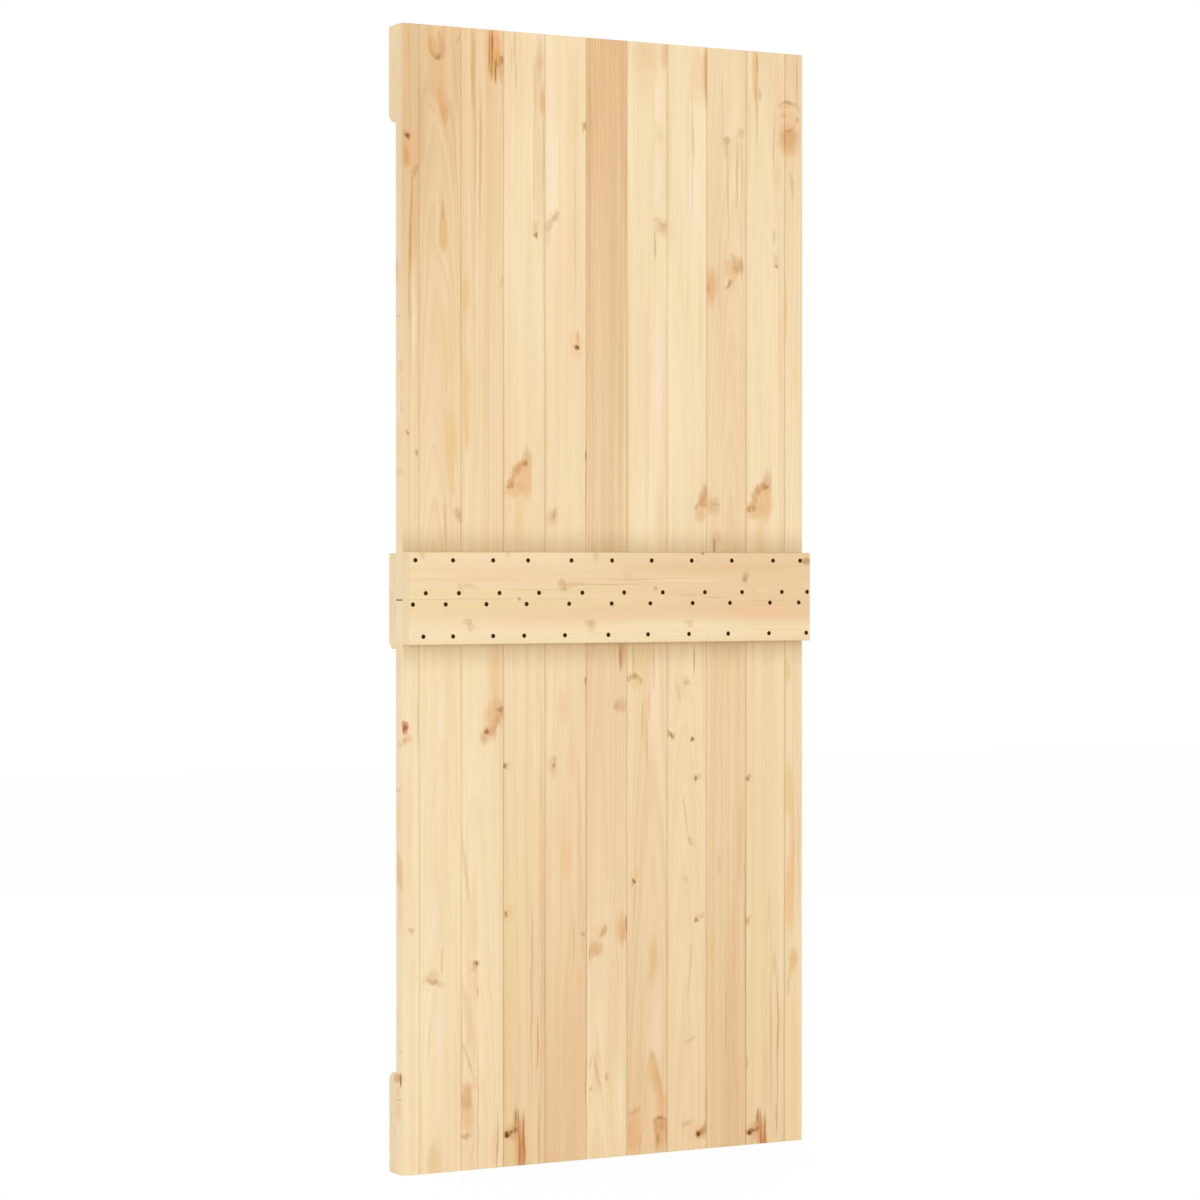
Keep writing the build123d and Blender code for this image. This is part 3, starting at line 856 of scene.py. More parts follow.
class Graph:
    """Adds shader nodes to one tree. Most methods return the socket with their result."""

    def __init__(self, tree):
        self.tree = tree

    def add(self, kind, **settings):
        node = self.tree.nodes.new(kind)
        for name, value in settings.items():
            setattr(node, name, value)
        return node

    def feed(self, socket, value):
        if isinstance(value, bpy.types.NodeSocket):
            self.tree.links.new(value, socket)
        else:
            socket.default_value = value

    def call(self, kind, values, **settings):
        """A new node's first result. Its first inputs take the values in turn."""
        node = self.add(kind, **settings)
        for socket, value in zip(node.inputs, values):
            self.feed(socket, value)
        return node.outputs[0]

    def fill(self, kind, values, **settings):
        """All the results of a new node. Its inputs take the values by name."""
        node = self.add(kind, **settings)
        for name, value in values.items():
            self.feed(node.inputs[name], value)
        return node.outputs

    def math(self, operation, *values, clamp=False):
        return self.call("ShaderNodeMath", values, operation=operation, use_clamp=clamp)

    def plus(self, first, second):
        return self.math("ADD", first, second)

    def minus(self, first, second):
        return self.math("SUBTRACT", first, second)

    def times(self, first, second):
        return self.math("MULTIPLY", first, second)

    def vector(self, operation, *values):
        return self.call("ShaderNodeVectorMath", values, operation=operation)

    def length(self, vector):
        node = self.add("ShaderNodeVectorMath", operation="LENGTH")
        self.feed(node.inputs[0], vector)
        return node.outputs["Value"]

    def split(self, vector):
        return self.fill("ShaderNodeSeparateXYZ", {"Vector": vector})

    def join(self, x, y, z):
        return self.call("ShaderNodeCombineXYZ", (x, y, z))

    def ease(self, value, start, end, low=0.0, high=1.0):
        """From low at start to high at end, in a smooth step."""
        values = (value, start, end, low, high)
        return self.call("ShaderNodeMapRange", values, interpolation_type="SMOOTHSTEP")

    def ramp(self, value, start, end, low=0.0, high=1.0):
        """From low at start to high at end, in a straight line."""
        return self.call("ShaderNodeMapRange", (value, start, end, low, high))

    def noise(self, vector, detail=2.0, roughness=0.5, output="Fac"):
        values = {"Vector": vector, "Scale": 1.0, "Detail": detail, "Roughness": roughness}
        return self.fill("ShaderNodeTexNoise", values, noise_dimensions="3D")[output]

    def swirl(self, vector):
        """A vector of about -0.2 to 0.2 on each axis that varies with place."""
        return self.vector("SUBTRACT", self.noise(vector, output="Color"), (0.5, 0.5, 0.5))

    def mix(self, factor, first, second, blend="MIX"):
        node = self.add("ShaderNodeMix", data_type="RGBA", blend_type=blend)
        for index, value in ((0, factor), (6, first), (7, second)):
            self.feed(node.inputs[index], value)
        return node.outputs[2]

    def tint(self, factor, colour, filter_colour):
        """The colour as seen through a filter, which is as strong as the factor says."""
        return self.mix(factor, colour, filter_colour, blend="MULTIPLY")

    def group(self, tree, values):
        return self.fill("ShaderNodeGroup", values, node_tree=tree)

    def bump(self, height, strength, distance):
        values = {"Strength": strength, "Distance": distance, "Height": height}
        return self.fill("ShaderNodeBump", values)[0]

    def finish(self, surface, kind="ShaderNodeOutputMaterial"):
        self.fill(kind, {"Surface": surface})


def start_graph(owner):
    """An empty graph for the surface of a material or of the world."""
    owner.use_nodes = True
    owner.node_tree.nodes.clear()
    return Graph(owner.node_tree)


def new_group(name, inputs, outputs):
    """An empty node group, with the graph that fills it and its two end nodes."""
    tree = bpy.data.node_groups.new(name, "ShaderNodeTree")
    for side, sockets in (("INPUT", inputs), ("OUTPUT", outputs)):
        for label, kind in sockets:
            tree.interface.new_socket(name=label, in_out=side, socket_type="NodeSocket" + kind)
    graph = Graph(tree)
    return tree, graph, graph.add("NodeGroupInput").outputs, graph.add("NodeGroupOutput").inputs


# Most of a noise lies between these values
USUAL = (0.3, 0.7)

# One mark: how it climbs through the board, how fast its push on the rings fades, how ragged
# the fibre makes its outline, and between which values of the fibre it shows when streaky
BRANCH_RISE = 0.45
PUSH_SPREAD = 0.3
RAGGEDNESS = 0.9
STREAKY_FIBRE = (0.42, 0.6)

# Where a mark fades out, in shares of its span: round a soft stain's outline, from its dark
# heart outwards and in its depth
SOFT_OUTSIDE = 0.5
SOFT_INSIDE = -0.8
HEART_FADE = (0.85, 0.2)
DEPTH_FADE = (1.3, 0.7)


def make_mark_group():
    """The shape of one mark: how far it pushes the rings, its stain and its dark heart.

    Position is in grain space: X across the board, Y through it and Z along the grain.
    """
    names = "Width Height Lean Taper Push Body Core Streaks Soft Deep".split()
    inputs = [("Position", "Vector"), ("Centre", "Vector"), ("Fibre", "Float")]
    inputs += [(name, "Float") for name in names]
    outputs = [("Push", "Float"), ("Body", "Float"), ("Dark", "Float")]
    tree, g, given, result = new_group("wood_mark", inputs, outputs)
    away = g.split(g.vector("SUBTRACT", given["Position"], given["Centre"]))
    along = g.minus(away[2], g.times(away[1], BRANCH_RISE))
    across = g.minus(away[0], g.times(given["Lean"], along))
    reach = g.math("DIVIDE", along, given["Height"])
    narrowing = g.times(given["Taper"], g.ramp(reach, -1.0, 1.0, -1.0, 1.0))
    width = g.times(given["Width"], g.minus(1.0, narrowing))
    distance = g.length(g.join(g.math("DIVIDE", across, width), reach, 0.0))
    square = g.times(distance, distance)
    swell = g.math("EXPONENT", g.times(square, -PUSH_SPREAD))
    g.feed(result["Push"], g.times(swell, given["Push"]))
    fraying = g.minus(given["Fibre"], 0.5)
    ragged = g.math("MULTIPLY_ADD", fraying, RAGGEDNESS, distance)
    streaky = g.ease(given["Fibre"], *STREAKY_FIBRE)
    thinned = g.math("MULTIPLY_ADD", g.minus(streaky, 1.0), given["Streaks"], 1.0)
    outside = g.math("MULTIPLY_ADD", given["Soft"], SOFT_OUTSIDE, 1.0)
    inside = g.math("MULTIPLY_ADD", given["Soft"], SOFT_INSIDE, 1.0)
    stain = g.times(g.ease(ragged, outside, inside), thinned)
    reached = g.ease(g.math("DIVIDE", away[1], given["Deep"]), *DEPTH_FADE)
    body = g.times(reached, given["Body"])
    core = g.times(reached, given["Core"])
    g.feed(result["Body"], g.times(stain, body))
    g.feed(result["Dark"], g.times(g.ease(ragged, *HEART_FADE), core))
    return tree


# How far the rings drift from side to side, and in how many waves to the metre
DRIFT = 20.0 * MM
DRIFT_WAVES_ACROSS = 9.0
DRIFT_WAVES_ALONG = 1.6

# Good and bad years: how uneven the rings are, and what a weak one keeps of its late wood
UNEVEN_YEARS = 2.4
UNEVEN_WAVES = 0.45
VIGOUR_WAVES = 0.7
VIGOUR_ROW = 3.0
WEAKEST_RING = 0.35

# Within one ring the late wood darkens slowly and ends sharply. Wider bands lie over the rings
DARKENING = (0.15, 0.85)
ENDING = (1.0, 0.84)
BAND_WAVES = 95.0
BAND_ROW = 7.0
BAND_RANGE = (0.32, 0.68)


def make_ring_group():
    """Growth rings round a pith line: the late wood's depth of colour, 0 to 1, and wider bands."""
    names = ("Across", "Depth", "Along", "Pith across", "Pith depth", "Tilt across")
    names += ("Tilt depth", "Push", "Spacing", "Seed")
    inputs = [(name, "Float") for name in names]
    outputs = [("Late wood", "Float"), ("Band", "Float")]
    tree, g, given, result = new_group("growth_rings", inputs, outputs)

    def from_pith(name):
        offset = g.minus(given[name], given["Pith " + name.lower()])
        lean = g.times(given["Along"], given["Tilt " + name.lower()])
        return g.minus(offset, lean)

    drift = g.join(
        g.times(given["Across"], DRIFT_WAVES_ACROSS),
        g.times(given["Along"], DRIFT_WAVES_ALONG),
        given["Seed"],
    )
    sway = g.times(g.minus(g.noise(drift), 0.5), DRIFT)
    distance = g.length(g.join(from_pith("Across"), from_pith("Depth"), 0.0))
    radius = g.plus(g.plus(distance, sway), given["Push"])
    year = g.math("DIVIDE", radius, given["Spacing"])
    uneven = g.noise(g.join(g.times(year, UNEVEN_WAVES), given["Seed"], 0.0), 1.0)
    year = g.math("MULTIPLY_ADD", uneven, UNEVEN_YEARS, year)
    season = g.math("FRACT", year)
    late = g.times(g.ease(season, *DARKENING), g.ease(season, *ENDING))
    years = g.join(g.times(year, VIGOUR_WAVES), VIGOUR_ROW, given["Seed"])
    strength = g.ease(g.noise(years, 0.0), *USUAL, WEAKEST_RING, 1.0)
    g.feed(result["Late wood"], g.times(late, strength))
    bands = g.join(g.times(radius, BAND_WAVES), BAND_ROW, given["Seed"])
    g.feed(result["Band"], g.ease(g.noise(bands, 1.5), *BAND_RANGE))
    return tree


MARK_GROUP = make_mark_group()
RING_GROUP = make_ring_group()

# The grain's noises, each with its waves to the metre across and along the grain
FIBRE_WAVES = (330.0, 7.0)
CLOUD_WAVES = (16.0, 1.3)
SORT_WAVES = (55.0, 1.1)
CLOUD_SEED = 1.7
SORT_SEED = 2.9

# How the grain wanders about straight lines, and how the outlines of round marks curl
WANDER_WAVES = (40.0, 40.0, 15.0)
BOARD_WANDER = (8.0 * MM, 0.0, 9.0 * MM)
RAIL_WANDER = (4.0 * MM, 0.0, 9.0 * MM)
CURL_WAVES = (130.0, 130.0, 95.0)
CURL = (11.0 * MM, 0.0, 13.0 * MM)
ROUND_SHARE = 2.2

# A face counts as turned to an axis once its normal's part along that axis passes these values
TURNED = (0.6, 0.9)

# Depths of colour, from the grain's tone to wear and to painted light and shade: painted light on
# the side faces, painted shade in the seams, beside the back rail and in the joint. Of two
# distances, the first is where an effect has faded out and the second where it is full
CLOUD_TONE = 0.16
BAND_TONE = 0.5
SORT_DEPTH = 0.4
SORT_MIDDLE = 0.5
SORT_REACH = 0.22
RING_TINT = linear(222, 184, 138)
RING_DEPTH = 0.48
# Painted light: faces turned to the sides, the boards' side faces and the rails' ends, are mixed
# towards cream
SIDE_PAINTED_LIGHT = 0.65
RAIL_END_PAINTED_LIGHT = 0.25
FIBRE_TINT = (0.975, 1.02)
EDGE_TINT = linear(222, 206, 178)
EDGE_REACH = 1.6 * MM
EDGE_WEAR = (0.05, 0.35)
EDGE_CLOUD = (0.35, 0.65)
END_TINT = linear(226, 190, 148)
END_DEPTH = 0.25
# Painted shade in the grooves of the seams between the boards, uneven along them
SEAM_SHADE_COLOUR = linear(204, 176, 132)
SEAM_REACH = 5.0 * MM
SEAM_SHADE_DEPTHS = (0.08, 0.4)
SEAM_RIGHT_SIDE = 0.6
LEDGE = [corner.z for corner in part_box("back_middle_rail")]
# Painted shade on the boards' back faces above and below the back rail: its tint and how far it
# reaches
RAIL_SHADE_TINT = linear(232, 232, 230)
RAIL_SHADE_REACH = 56.0 * MM
FACING_BACK = (-0.5, -0.9)
JOINT = (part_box("lower_plank_01")[1].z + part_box("upper_plank_01")[0].z) / 2
# Painted shade: a dark line on the side faces, where the upper and lower courses meet
JOINT_REACH = (1.9 * MM, 0.76 * MM)
JOINT_SHADE_DEPTH = 0.9

# The surface: relief of the fibre and of the late wood, roughness and how much it mirrors
FIBRE_RELIEF = 0.7
LATE_RELIEF = 0.5
RELIEF_STRENGTH = 0.35
RELIEF_HEIGHT = 0.12 * MM
ROUGHNESS = (0.52, 0.64)
LATE_SMOOTHNESS = 0.1
PINE_MIRRORING = 0.18


def edge_nearness(g, place, lowest, highest):
    """1 on the long and short edges of a piece's box, and 0 from EDGE_REACH inwards on."""
    distances = []
    for axis in range(3):
        to_low = g.minus(place[axis], lowest[axis])
        to_high = g.minus(highest[axis], place[axis])
        distances.append(g.math("MINIMUM", to_low, to_high))
    first, second, third = distances
    smaller = g.math("MINIMUM", first, second)
    larger = g.math("MAXIMUM", first, second)
    middle = g.math("MAXIMUM", smaller, g.math("MINIMUM", larger, third))
    return g.ease(middle, EDGE_REACH, 0.0)


def seam_nearness(g, across, lowest, highest, joined):
    """1 at the seam on the left, less at that on the right, and 0 from SEAM_REACH inwards on."""
    nearness = 0.0
    if joined[0]:
        nearness = g.ease(g.minus(across, lowest.x), SEAM_REACH, 0.0)
    if joined[1]:
        to_seam = g.minus(highest.x, across)
        right = g.ease(to_seam, SEAM_REACH, 0.0, 0.0, SEAM_RIGHT_SIDE)
        nearness = g.math("MAXIMUM", right, nearness)
    return nearness


def fold_out(g, grain, sideways, face_depth, joined):
    """Where a point lies once the leaf's own side face is folded out beside its back face.

    So a mark with a negative x lies on the left side, as far from the back edge as that.
    """
    if joined[0] and joined[1]:
        return g.join(*grain)
    across, depth, along = grain
    inwards = g.times(g.minus(depth, face_depth), sideways)
    beside = g.plus(across, inwards) if joined[0] else g.minus(across, inwards)
    return g.join(beside, g.minus(depth, inwards), along)


def stretched(g, grain, waves, seed):
    """A place for noise that is drawn out along the grain."""
    across, depth, along = grain
    return g.join(
        g.times(across, waves[0]),
        g.times(depth, waves[0]),
        g.math("MULTIPLY_ADD", along, waves[1], seed),
    )


def is_round(mark):
    """Round marks have a ragged outline, while long ones follow the grain."""
    return 1 / ROUND_SHARE < mark.height / mark.width < ROUND_SHARE


def place_marks(g, marks, position, fibre, face_depth, upright):
    """The push of all the marks on the rings, and each mark's coats of paint with their colours."""
    wander = g.swirl(g.vector("MULTIPLY", position, WANDER_WAVES))
    sway = BOARD_WANDER if upright else RAIL_WANDER
    wandered = g.vector("ADD", position, g.vector("MULTIPLY", wander, sway))
    curl = g.swirl(g.vector("MULTIPLY", position, CURL_WAVES))
    rough = g.vector("ADD", wandered, g.vector("MULTIPLY", curl, CURL))
    push = 0.0
    paints = []
    for mark in marks:
        mark_x = LEFT_EDGE + mark.x * MM
        mark_z = BOTTOM + mark.z * MM
        centre = (mark_x, face_depth, mark_z) if upright else (mark_z, face_depth, mark_x)
        spans = (mark.width, mark.height) if upright else (mark.height, mark.width)
        shape = g.group(MARK_GROUP, {
            "Position": rough if is_round(mark) else wandered,
            "Centre": centre,
            "Fibre": fibre,
            "Width": spans[0] * MM,
            "Height": spans[1] * MM,
            "Lean": mark.lean,
            "Taper": mark.taper,
            "Push": mark.push * MM,
            "Body": mark.body,
            "Core": mark.core,
            "Streaks": mark.streaks,
            "Soft": mark.soft,
            "Deep": mark.deep * MM,
        })
        if mark.push:
            push = g.plus(shape["Push"], push)
        paints.append((shape["Body"], mark.colour))
        if mark.core:
            paints.append((shape["Dark"], mark.dark))
    return push, paints


def paint_shade_and_end_grain(g, colour, grain, normal, sideways):
    """Painted shade on the boards beside the back rail and in the joint between the courses, and
    the darker end grain.
    """
    along = grain[2]
    above = g.minus(along, LEDGE[1])
    below = g.minus(LEDGE[0], along)
    # Painted shade on the back faces beside the back rail, fading out with distance from it
    painted_rail_shade = g.ease(g.math("MAXIMUM", above, below), RAIL_SHADE_REACH, 0.0)
    painted_rail_shade = g.times(painted_rail_shade, g.ease(normal[1], *FACING_BACK))
    colour = g.tint(painted_rail_shade, colour, RAIL_SHADE_TINT)
    # Painted shade: a dark line on the side faces in the joint between the courses
    from_joint = g.math("ABSOLUTE", g.minus(along, JOINT))
    painted_joint_shade = g.times(g.ease(from_joint, *JOINT_REACH), sideways)
    colour = g.mix(g.times(painted_joint_shade, JOINT_SHADE_DEPTH), colour, DARK)
    upwards = g.ease(g.math("ABSOLUTE", normal[2]), *TURNED)
    return g.tint(g.times(upwards, END_DEPTH), colour, END_TINT)


def plain_wood(g, look, grain, ends, rings, cloud, seed):
    """The wood's own colour: its tone from one end to the other, then bands, sorts and rings."""
    tone = g.ease(grain[2], *ends, look.low, look.top)
    tone = g.plus(tone, g.ramp(cloud, *USUAL, -CLOUD_TONE, CLOUD_TONE))
    band = g.minus(rings["Band"], 0.5)
    tone = g.math("MULTIPLY_ADD", band, BAND_TONE * look.contrast, tone)
    colour = g.mix(g.math("MAXIMUM", tone, 0.0, clamp=True), CREAM, TAN)
    sort = g.noise(stretched(g, grain, SORT_WAVES, SORT_SEED * seed))
    for limit, tinge in ((SORT_MIDDLE + SORT_REACH, BLUSH), (SORT_MIDDLE - SORT_REACH, STRAW)):
        colour = g.mix(g.ease(sort, SORT_MIDDLE, limit, 0.0, SORT_DEPTH), colour, tinge)
    late = g.times(rings["Late wood"], look.contrast * RING_DEPTH)
    return g.tint(late, colour, RING_TINT)


def pine_surface(g, colour, fibre, late):
    """Satin wood, on which the fibre and the late wood stand out a little."""
    relief = g.math("MULTIPLY_ADD", fibre, FIBRE_RELIEF, g.times(late, LATE_RELIEF))
    roughness = g.ramp(fibre, *USUAL, *ROUGHNESS)
    return g.fill("ShaderNodeBsdfPrincipled", {
        "Base Color": colour,
        "Roughness": g.math("MULTIPLY_ADD", late, -LATE_SMOOTHNESS, roughness),
        "Specular IOR Level": PINE_MIRRORING,
        "Normal": g.bump(relief, RELIEF_STRENGTH, RELIEF_HEIGHT),
    })[0]


def make_pine(name, look, lowest, highest, upright, joined, seed):
    """Planed pine for one piece, from its look and its box, in the piece's own coordinates."""
    material = bpy.data.materials.new(name)
    g = start_graph(material)
    place = g.split(g.add("ShaderNodeTexCoord").outputs["Object"])
    normal = g.split(g.add("ShaderNodeTexCoord").outputs["Normal"])
    centre = (lowest + highest) / 2
    x, z = (0, 2) if upright else (2, 0)
    grain = (place[x], place[1], place[z])
    across, depth, along = grain
    sideways = g.ease(g.math("ABSOLUTE", normal[0]), *TURNED)
    if upright:
        position = fold_out(g, grain, sideways, lowest.y, joined)
    else:
        position = g.join(*grain)
    fibre = g.noise(stretched(g, grain, FIBRE_WAVES, seed), 3.0, 0.55)
    push, paints = place_marks(g, look.marks, position, fibre, lowest.y, upright)
    rings = g.group(RING_GROUP, {
        "Across": across,
        "Depth": depth,
        "Along": g.minus(along, centre[z]),
        "Pith across": centre[x] + look.pith[0] * MM,
        "Pith depth": centre.y + look.pith[1] * MM,
        "Tilt across": look.tilt[0],
        "Tilt depth": look.tilt[1],
        "Push": push,
        "Spacing": look.spacing * MM,
        "Seed": seed,
    })
    cloud = g.noise(stretched(g, grain, CLOUD_WAVES, CLOUD_SEED * seed))
    colour = plain_wood(g, look, grain, (lowest[z], highest[z]), rings, cloud, seed)
    # Painted light: faces turned to the sides are mixed towards cream, more on the boards than on
    # the rails' ends
    colour = g.mix(g.times(sideways, SIDE_PAINTED_LIGHT if upright else RAIL_END_PAINTED_LIGHT), colour, CREAM)
    if upright:
        seam = seam_nearness(g, across, lowest, highest, joined)
        # Painted shade in the seams' grooves, stronger at a board's left seam and uneven with the
        # cloud
        painted_seam_shade = g.ease(cloud, *USUAL, *SEAM_SHADE_DEPTHS)
        colour = g.mix(g.times(seam, painted_seam_shade), colour, SEAM_SHADE_COLOUR)
    for amount, paint in paints:
        colour = g.mix(amount, colour, paint)
    streaks = g.ramp(fibre, *USUAL, *FIBRE_TINT)
    colour = g.tint(1.0, colour, g.join(streaks, streaks, streaks))
    edges = edge_nearness(g, place, lowest, highest)
    colour = g.tint(g.times(edges, g.ease(cloud, *EDGE_CLOUD, *EDGE_WEAR)), colour, EDGE_TINT)
    if upright:
        colour = paint_shade_and_end_grain(g, colour, grain, normal, sideways)
    g.finish(pine_surface(g, colour, fibre, rings["Late wood"]))
    return material


def dress(node, upright, seed, joined=(False, False)):
    """Gives one CAD node its own pine. A tongue on the right side stays out of its box."""
    lowest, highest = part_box(node)
    if joined[1]:
        highest = highest - Vector((TONGUE_LENGTH, 0.0, 0.0))
    material = make_pine(node + "_pine", LOOKS[node], lowest, highest, upright, joined, seed)
    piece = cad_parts[node]
    piece.data.materials.clear()
    piece.data.materials.append(material)


# Seeds that set each piece's grain apart from the others'
FIRST_BOARD_SEED = {"upper": 4.1, "lower": 171.7}
BOARD_SEED_STEP = 11.3
RAIL_SEED = {
    "back_middle_rail": 301.7,
    "front_top_rail": 322.9,
    "front_middle_rail": 347.3,
    "front_bottom_rail": 368.1,
}


def dress_wood():
    for course, first_seed in FIRST_BOARD_SEED.items():
        for column in range(COLUMNS):
            joined = (column > 0, column < COLUMNS - 1)
            seed = BOARD_SEED_STEP * column + first_seed
            dress(f"{course}_plank_{column + 1:02d}", True, seed, joined)
    for node, seed in RAIL_SEED.items():
        dress(node, False, seed)


STEEL_DARK = linear(56, 32, 0)
STEEL_BROWN = linear(80, 50, 6)
STEEL_WORN = linear(100, 66, 30)
SPECKLE_WAVES = (900.0, 900.0, 900.0)
STAIN_WAVES = (130.0, 130.0, 130.0)
WORN_SPECKLE = (0.55, 0.75)
WORN_DEPTH = 0.5


def make_screw_steel():
    """Dark brown phosphated steel, a little worn and speckled."""
    material = bpy.data.materials.new("screw_phosphate")
    g = start_graph(material)
    place = g.add("ShaderNodeTexCoord").outputs["Object"]
    speckle = g.noise(g.vector("MULTIPLY", place, SPECKLE_WAVES), 3.0)
    cloud = g.noise(g.vector("MULTIPLY", place, STAIN_WAVES), 1.0)
    colour = g.mix(g.ease(cloud, *USUAL), STEEL_DARK, STEEL_BROWN)
    worn = g.times(g.ease(speckle, *WORN_SPECKLE), WORN_DEPTH)
    g.finish(g.fill("ShaderNodeBsdfPrincipled", {
        "Base Color": g.mix(worn, colour, STEEL_WORN),
        "Metallic": 0.1,
        "Roughness": g.ramp(speckle, *USUAL, 0.5, 0.7),
        "Specular IOR Level": 0.08,
        "Normal": g.bump(speckle, 0.3, 0.05 * MM),
    })[0])
    return material


# One screw, measured from the top of its head down
SCREW_LENGTH = 72.0 * MM
SCREW_SIDES = 48
POINT_LENGTH = 7.0 * MM
SHANK_RADIUS = 1.5 * MM
RECESS_RADIUS = 1.75 * MM
RECESS_WAVE = 0.34 * MM
RECESS_LOBES = 6
RECESS_DEPTH = 1.8 * MM
PIT_DEPTH = 2.15 * MM
THREAD_SIDES = 12
THREAD_RADIUS = 2.4 * MM
THREAD_PITCH = 3.0 * MM
THREAD_FOOT = 1.0 * MM
THREAD_START = 34.0 * MM
THREAD_END = 1.5 * MM

# Rings from the recess's floor out over the head and down the shank: radius, wave and depth
SCREW_OUTLINE = (
    (0.8 * RECESS_RADIUS, 0.8 * RECESS_WAVE, RECESS_DEPTH),
    (RECESS_RADIUS, RECESS_WAVE, 0.12 * MM),
    (1.06 * RECESS_RADIUS, 1.06 * RECESS_WAVE, 0.0),
    (HEAD_RADIUS - 0.25 * MM, 0.0, 0.0),
    (HEAD_RADIUS - 0.06 * MM, 0.0, 0.08 * MM),
    (HEAD_RADIUS - 0.1 * MM, 0.0, 0.2 * MM),
    (SHANK_RADIUS, 0.0, HEAD_RADIUS - SHANK_RADIUS + 0.1 * MM),
    (SHANK_RADIUS, 0.0, SCREW_LENGTH - POINT_LENGTH),
)


def ring_of(mesh, radius, wave, depth):
    """A closed loop of vertices round the screw's own Z axis, which points out of the head."""
    loop = []
    for side in range(SCREW_SIDES):
        angle = 2 * math.pi * side / SCREW_SIDES
        reach = radius + wave * math.cos(RECESS_LOBES * angle)
        loop.append(mesh.verts.new((reach * math.cos(angle), reach * math.sin(angle), -depth)))
    return loop


def bridge(mesh, first, second):
    """Faces between two loops of as many vertices each."""
    count = len(first)
    for side in range(count):
        after = (side + 1) % count
        mesh.faces.new((first[side], second[side], second[after], first[after]))


def fan(mesh, centre, loop):
    """Faces between a loop and the point that closes it."""
    for side, vertex in enumerate(loop):
        mesh.faces.new((centre, vertex, loop[(side + 1) % len(loop)]))


def make_screw_mesh():
    """A self-boring screw: flat head with a six-lobed recess, shank, thread and point."""
    mesh = bmesh.new()
    pit = mesh.verts.new((0.0, 0.0, -PIT_DEPTH))
    rings = [ring_of(mesh, *outline) for outline in SCREW_OUTLINE]
    tip = mesh.verts.new((0.0, 0.0, -SCREW_LENGTH))
    fan(mesh, pit, rings[0])
    for first, second in zip(rings, rings[1:]):
        bridge(mesh, first, second)
    fan(mesh, tip, rings[-1])
    add_thread(mesh)
    bmesh.ops.recalc_face_normals(mesh, faces=mesh.faces)
    return mesh


def add_thread(mesh):
    """A sharp ridge wound round the shank, which runs out towards the point."""
    turns = (SCREW_LENGTH - THREAD_START - THREAD_END) / THREAD_PITCH
    steps = int(turns * THREAD_SIDES)
    earlier = None
    for step in range(steps + 1):
        angle = 2 * math.pi * step / THREAD_SIDES
        depth = THREAD_START + THREAD_PITCH * step / THREAD_SIDES
        to_tip = min(1.0, (SCREW_LENGTH - depth) / POINT_LENGTH)
        fade = min(1.0, step / THREAD_SIDES) * to_tip
        inner = 0.9 * SHANK_RADIUS * to_tip
        outer = SHANK_RADIUS * to_tip + (THREAD_RADIUS - SHANK_RADIUS) * fade
        profile = ((inner, -THREAD_FOOT / 2), (outer, 0.0), (inner, THREAD_FOOT / 2))
        section = [
            mesh.verts.new((reach * math.cos(angle), reach * math.sin(angle), -depth - shift))
            for reach, shift in profile
        ]
        if earlier:
            bridge(mesh, earlier, section)
        else:
            mesh.faces.new(section)
        earlier = section
    mesh.faces.new(reversed(earlier))


def make_screws():
    """Four rows of screws, each driven to its own angle into its seat in the back rail."""
    steel = make_screw_steel()
    rail_low, rail_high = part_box("back_middle_rail")
    rows = (
        ("outer_upper", rail_high.z - OUTER_ROW_INSET, UPPER_OUTER_WANDER),
        ("inner_upper", JOINT + UPPER_ROW_REACH, UPPER_INNER_WANDER),
        ("inner_lower", JOINT - LOWER_ROW_REACH, LOWER_INNER_WANDER),
        ("outer_lower", rail_low.z + OUTER_ROW_INSET, LOWER_OUTER_WANDER),
    )
    seams = [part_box(f"upper_plank_{column:02d}")[0].x for column in range(1, COLUMNS + 1)]
    seams.append(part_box(f"upper_plank_{COLUMNS:02d}")[1].x)
    model = make_screw_mesh()
    pattern = bpy.data.meshes.new("screw_pattern")
    model.to_mesh(pattern)
    model.free()
    for row_number, (label, level, wander) in enumerate(rows):
        joined = bmesh.new()
        for column in range(COLUMNS):
            x = (seams[column] + seams[column + 1]) / 2 + wander[column] * MM
            spin = SPIN_BY_COLUMN * column + SPIN_BY_ROW * row_number
            place = Matrix.Translation((x, rail_low.y + HEAD_SUNK, level))
            turn = Matrix.Rotation(math.radians(90), 4, "X") @ Matrix.Rotation(spin, 4, "Z")
            pattern.transform(place @ turn)
            joined.from_mesh(pattern)
            pattern.transform((place @ turn).inverted())
        mesh = bpy.data.meshes.new("screws_" + label)
        joined.to_mesh(mesh)
        joined.free()
        mesh.materials.append(steel)
        screws = add_object("screws_" + label, mesh)
        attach(screws, "root")
    bpy.data.meshes.remove(pattern)


def add_object(name, data, place=(0.0, 0.0, 0.0)):
    thing = bpy.data.objects.new(name, data)
    thing.location = place
    bpy.context.scene.collection.objects.link(thing)
    return thing


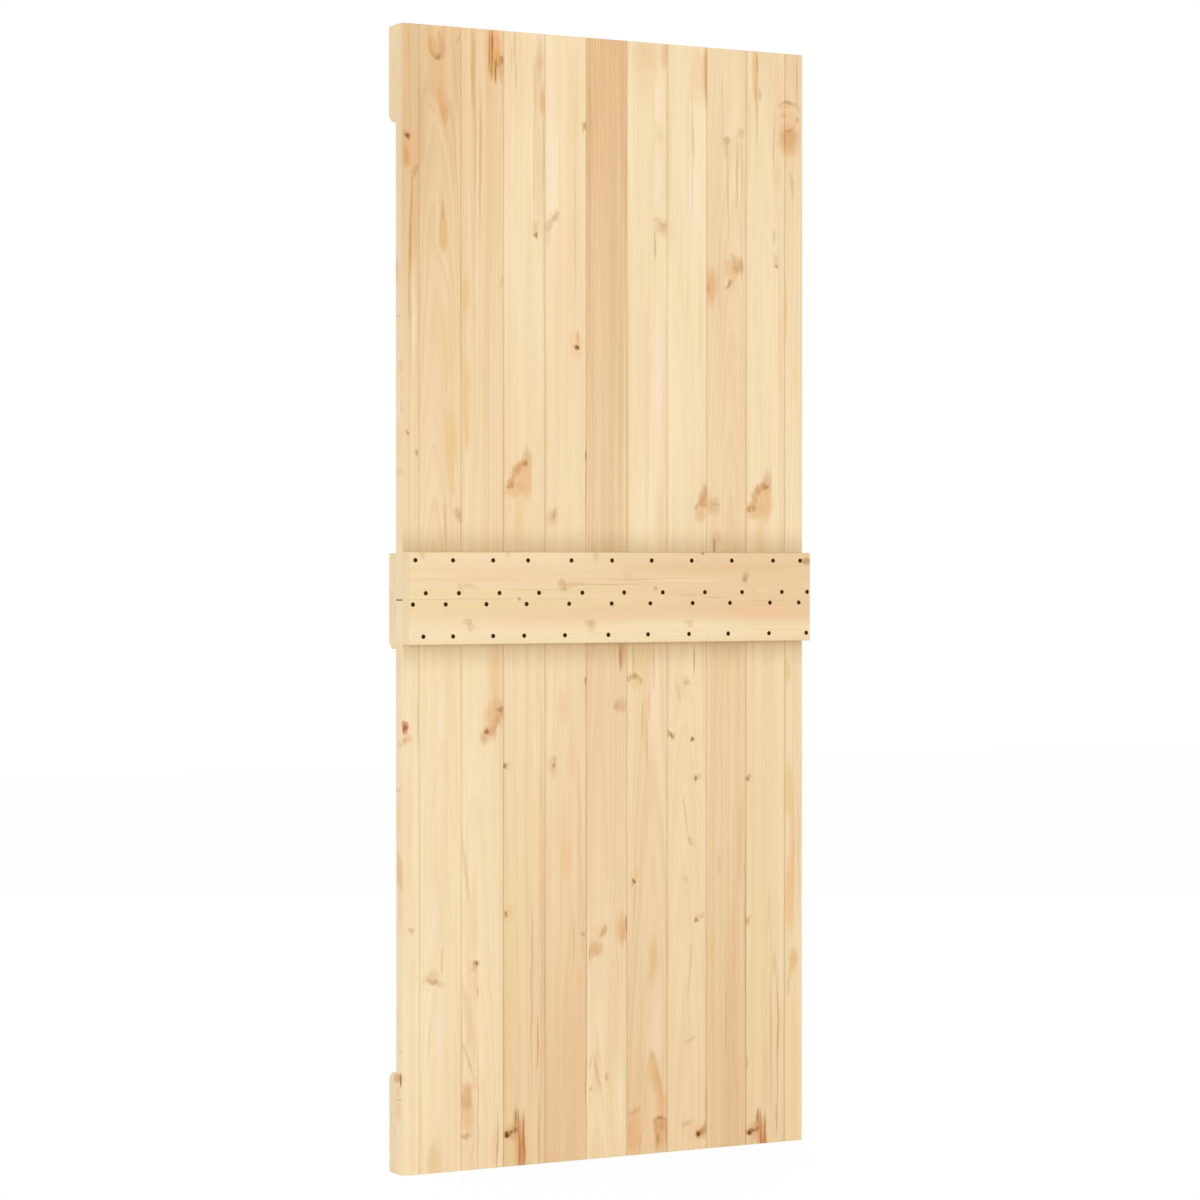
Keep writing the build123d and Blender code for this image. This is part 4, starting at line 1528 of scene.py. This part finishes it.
def add_area_light(name, place, size, power):
    lamp = bpy.data.lights.new(name, "AREA")
    lamp.shape = "DISK"
    lamp.size = size
    lamp.energy = power
    light = add_object(name, lamp, place)
    aim = Vector(LEAF_MIDDLE) - Vector(place)
    light.rotation_euler = aim.to_track_quat("-Z", "Y").to_euler()


def seen_directly(g):
    """1 for rays from the camera or off gloss or glass, and 0 for rays that carry light."""
    path = g.add("ShaderNodeLightPath").outputs
    gloss = g.math("MAXIMUM", path["Is Glossy Ray"], path["Is Transmission Ray"])
    return g.math("MAXIMUM", path["Is Camera Ray"], gloss)


def make_world():
    world = bpy.data.worlds.new("studio")
    g = start_graph(world)
    strength = g.ramp(seen_directly(g), 0.0, 1.0, WORLD_STRENGTH, 1.0)
    background = g.fill("ShaderNodeBackground", {"Color": WHITE, "Strength": strength})
    g.finish(background[0], "ShaderNodeOutputWorld")
    bpy.context.scene.world = world


def make_floor():
    """A pale floor at the leaf's bottom edge, which shows white with the leaf's faint shadow."""
    mesh = bpy.data.meshes.new("floor")
    half = FLOOR_SIZE / 2
    corners = [(-half, -half, 0), (half, -half, 0), (half, half, 0), (-half, half, 0)]
    mesh.from_pydata(corners, [], [(0, 1, 2, 3)])
    floor = add_object("floor", mesh, (0.0, 0.0, BOTTOM - FLOOR_GAP))
    material = bpy.data.materials.new("pale_floor")
    g = start_graph(material)
    matt = g.fill("ShaderNodeBsdfDiffuse", {"Color": FLOOR_GREY})[0]
    glow = g.fill("ShaderNodeEmission", {"Color": WHITE, "Strength": FLOOR_GLOW})[0]
    share = g.times(seen_directly(g), 1.0 - FLOOR_SHADOW)
    g.finish(g.call("ShaderNodeMixShader", (share, matt, glow)))
    mesh.materials.append(material)


def make_camera():
    lens = bpy.data.cameras.new("camera")
    lens.sensor_width = SENSOR
    lens.lens = LENS
    lens.clip_end = FARTHEST_SEEN
    camera = add_object("camera", lens, CAMERA_PLACE)
    camera.rotation_euler = (math.pi / 2 + CAMERA_TILT, 0.0, -CAMERA_TURN)
    bpy.context.scene.camera = camera


def light_studio():
    for name, place, size, power in LIGHTS:
        add_area_light(name, place, size, power)


make_camera()
make_world()
make_floor()
light_studio()
dress_wood()
make_screws()

bpy.context.scene.view_settings.view_transform = "Standard"
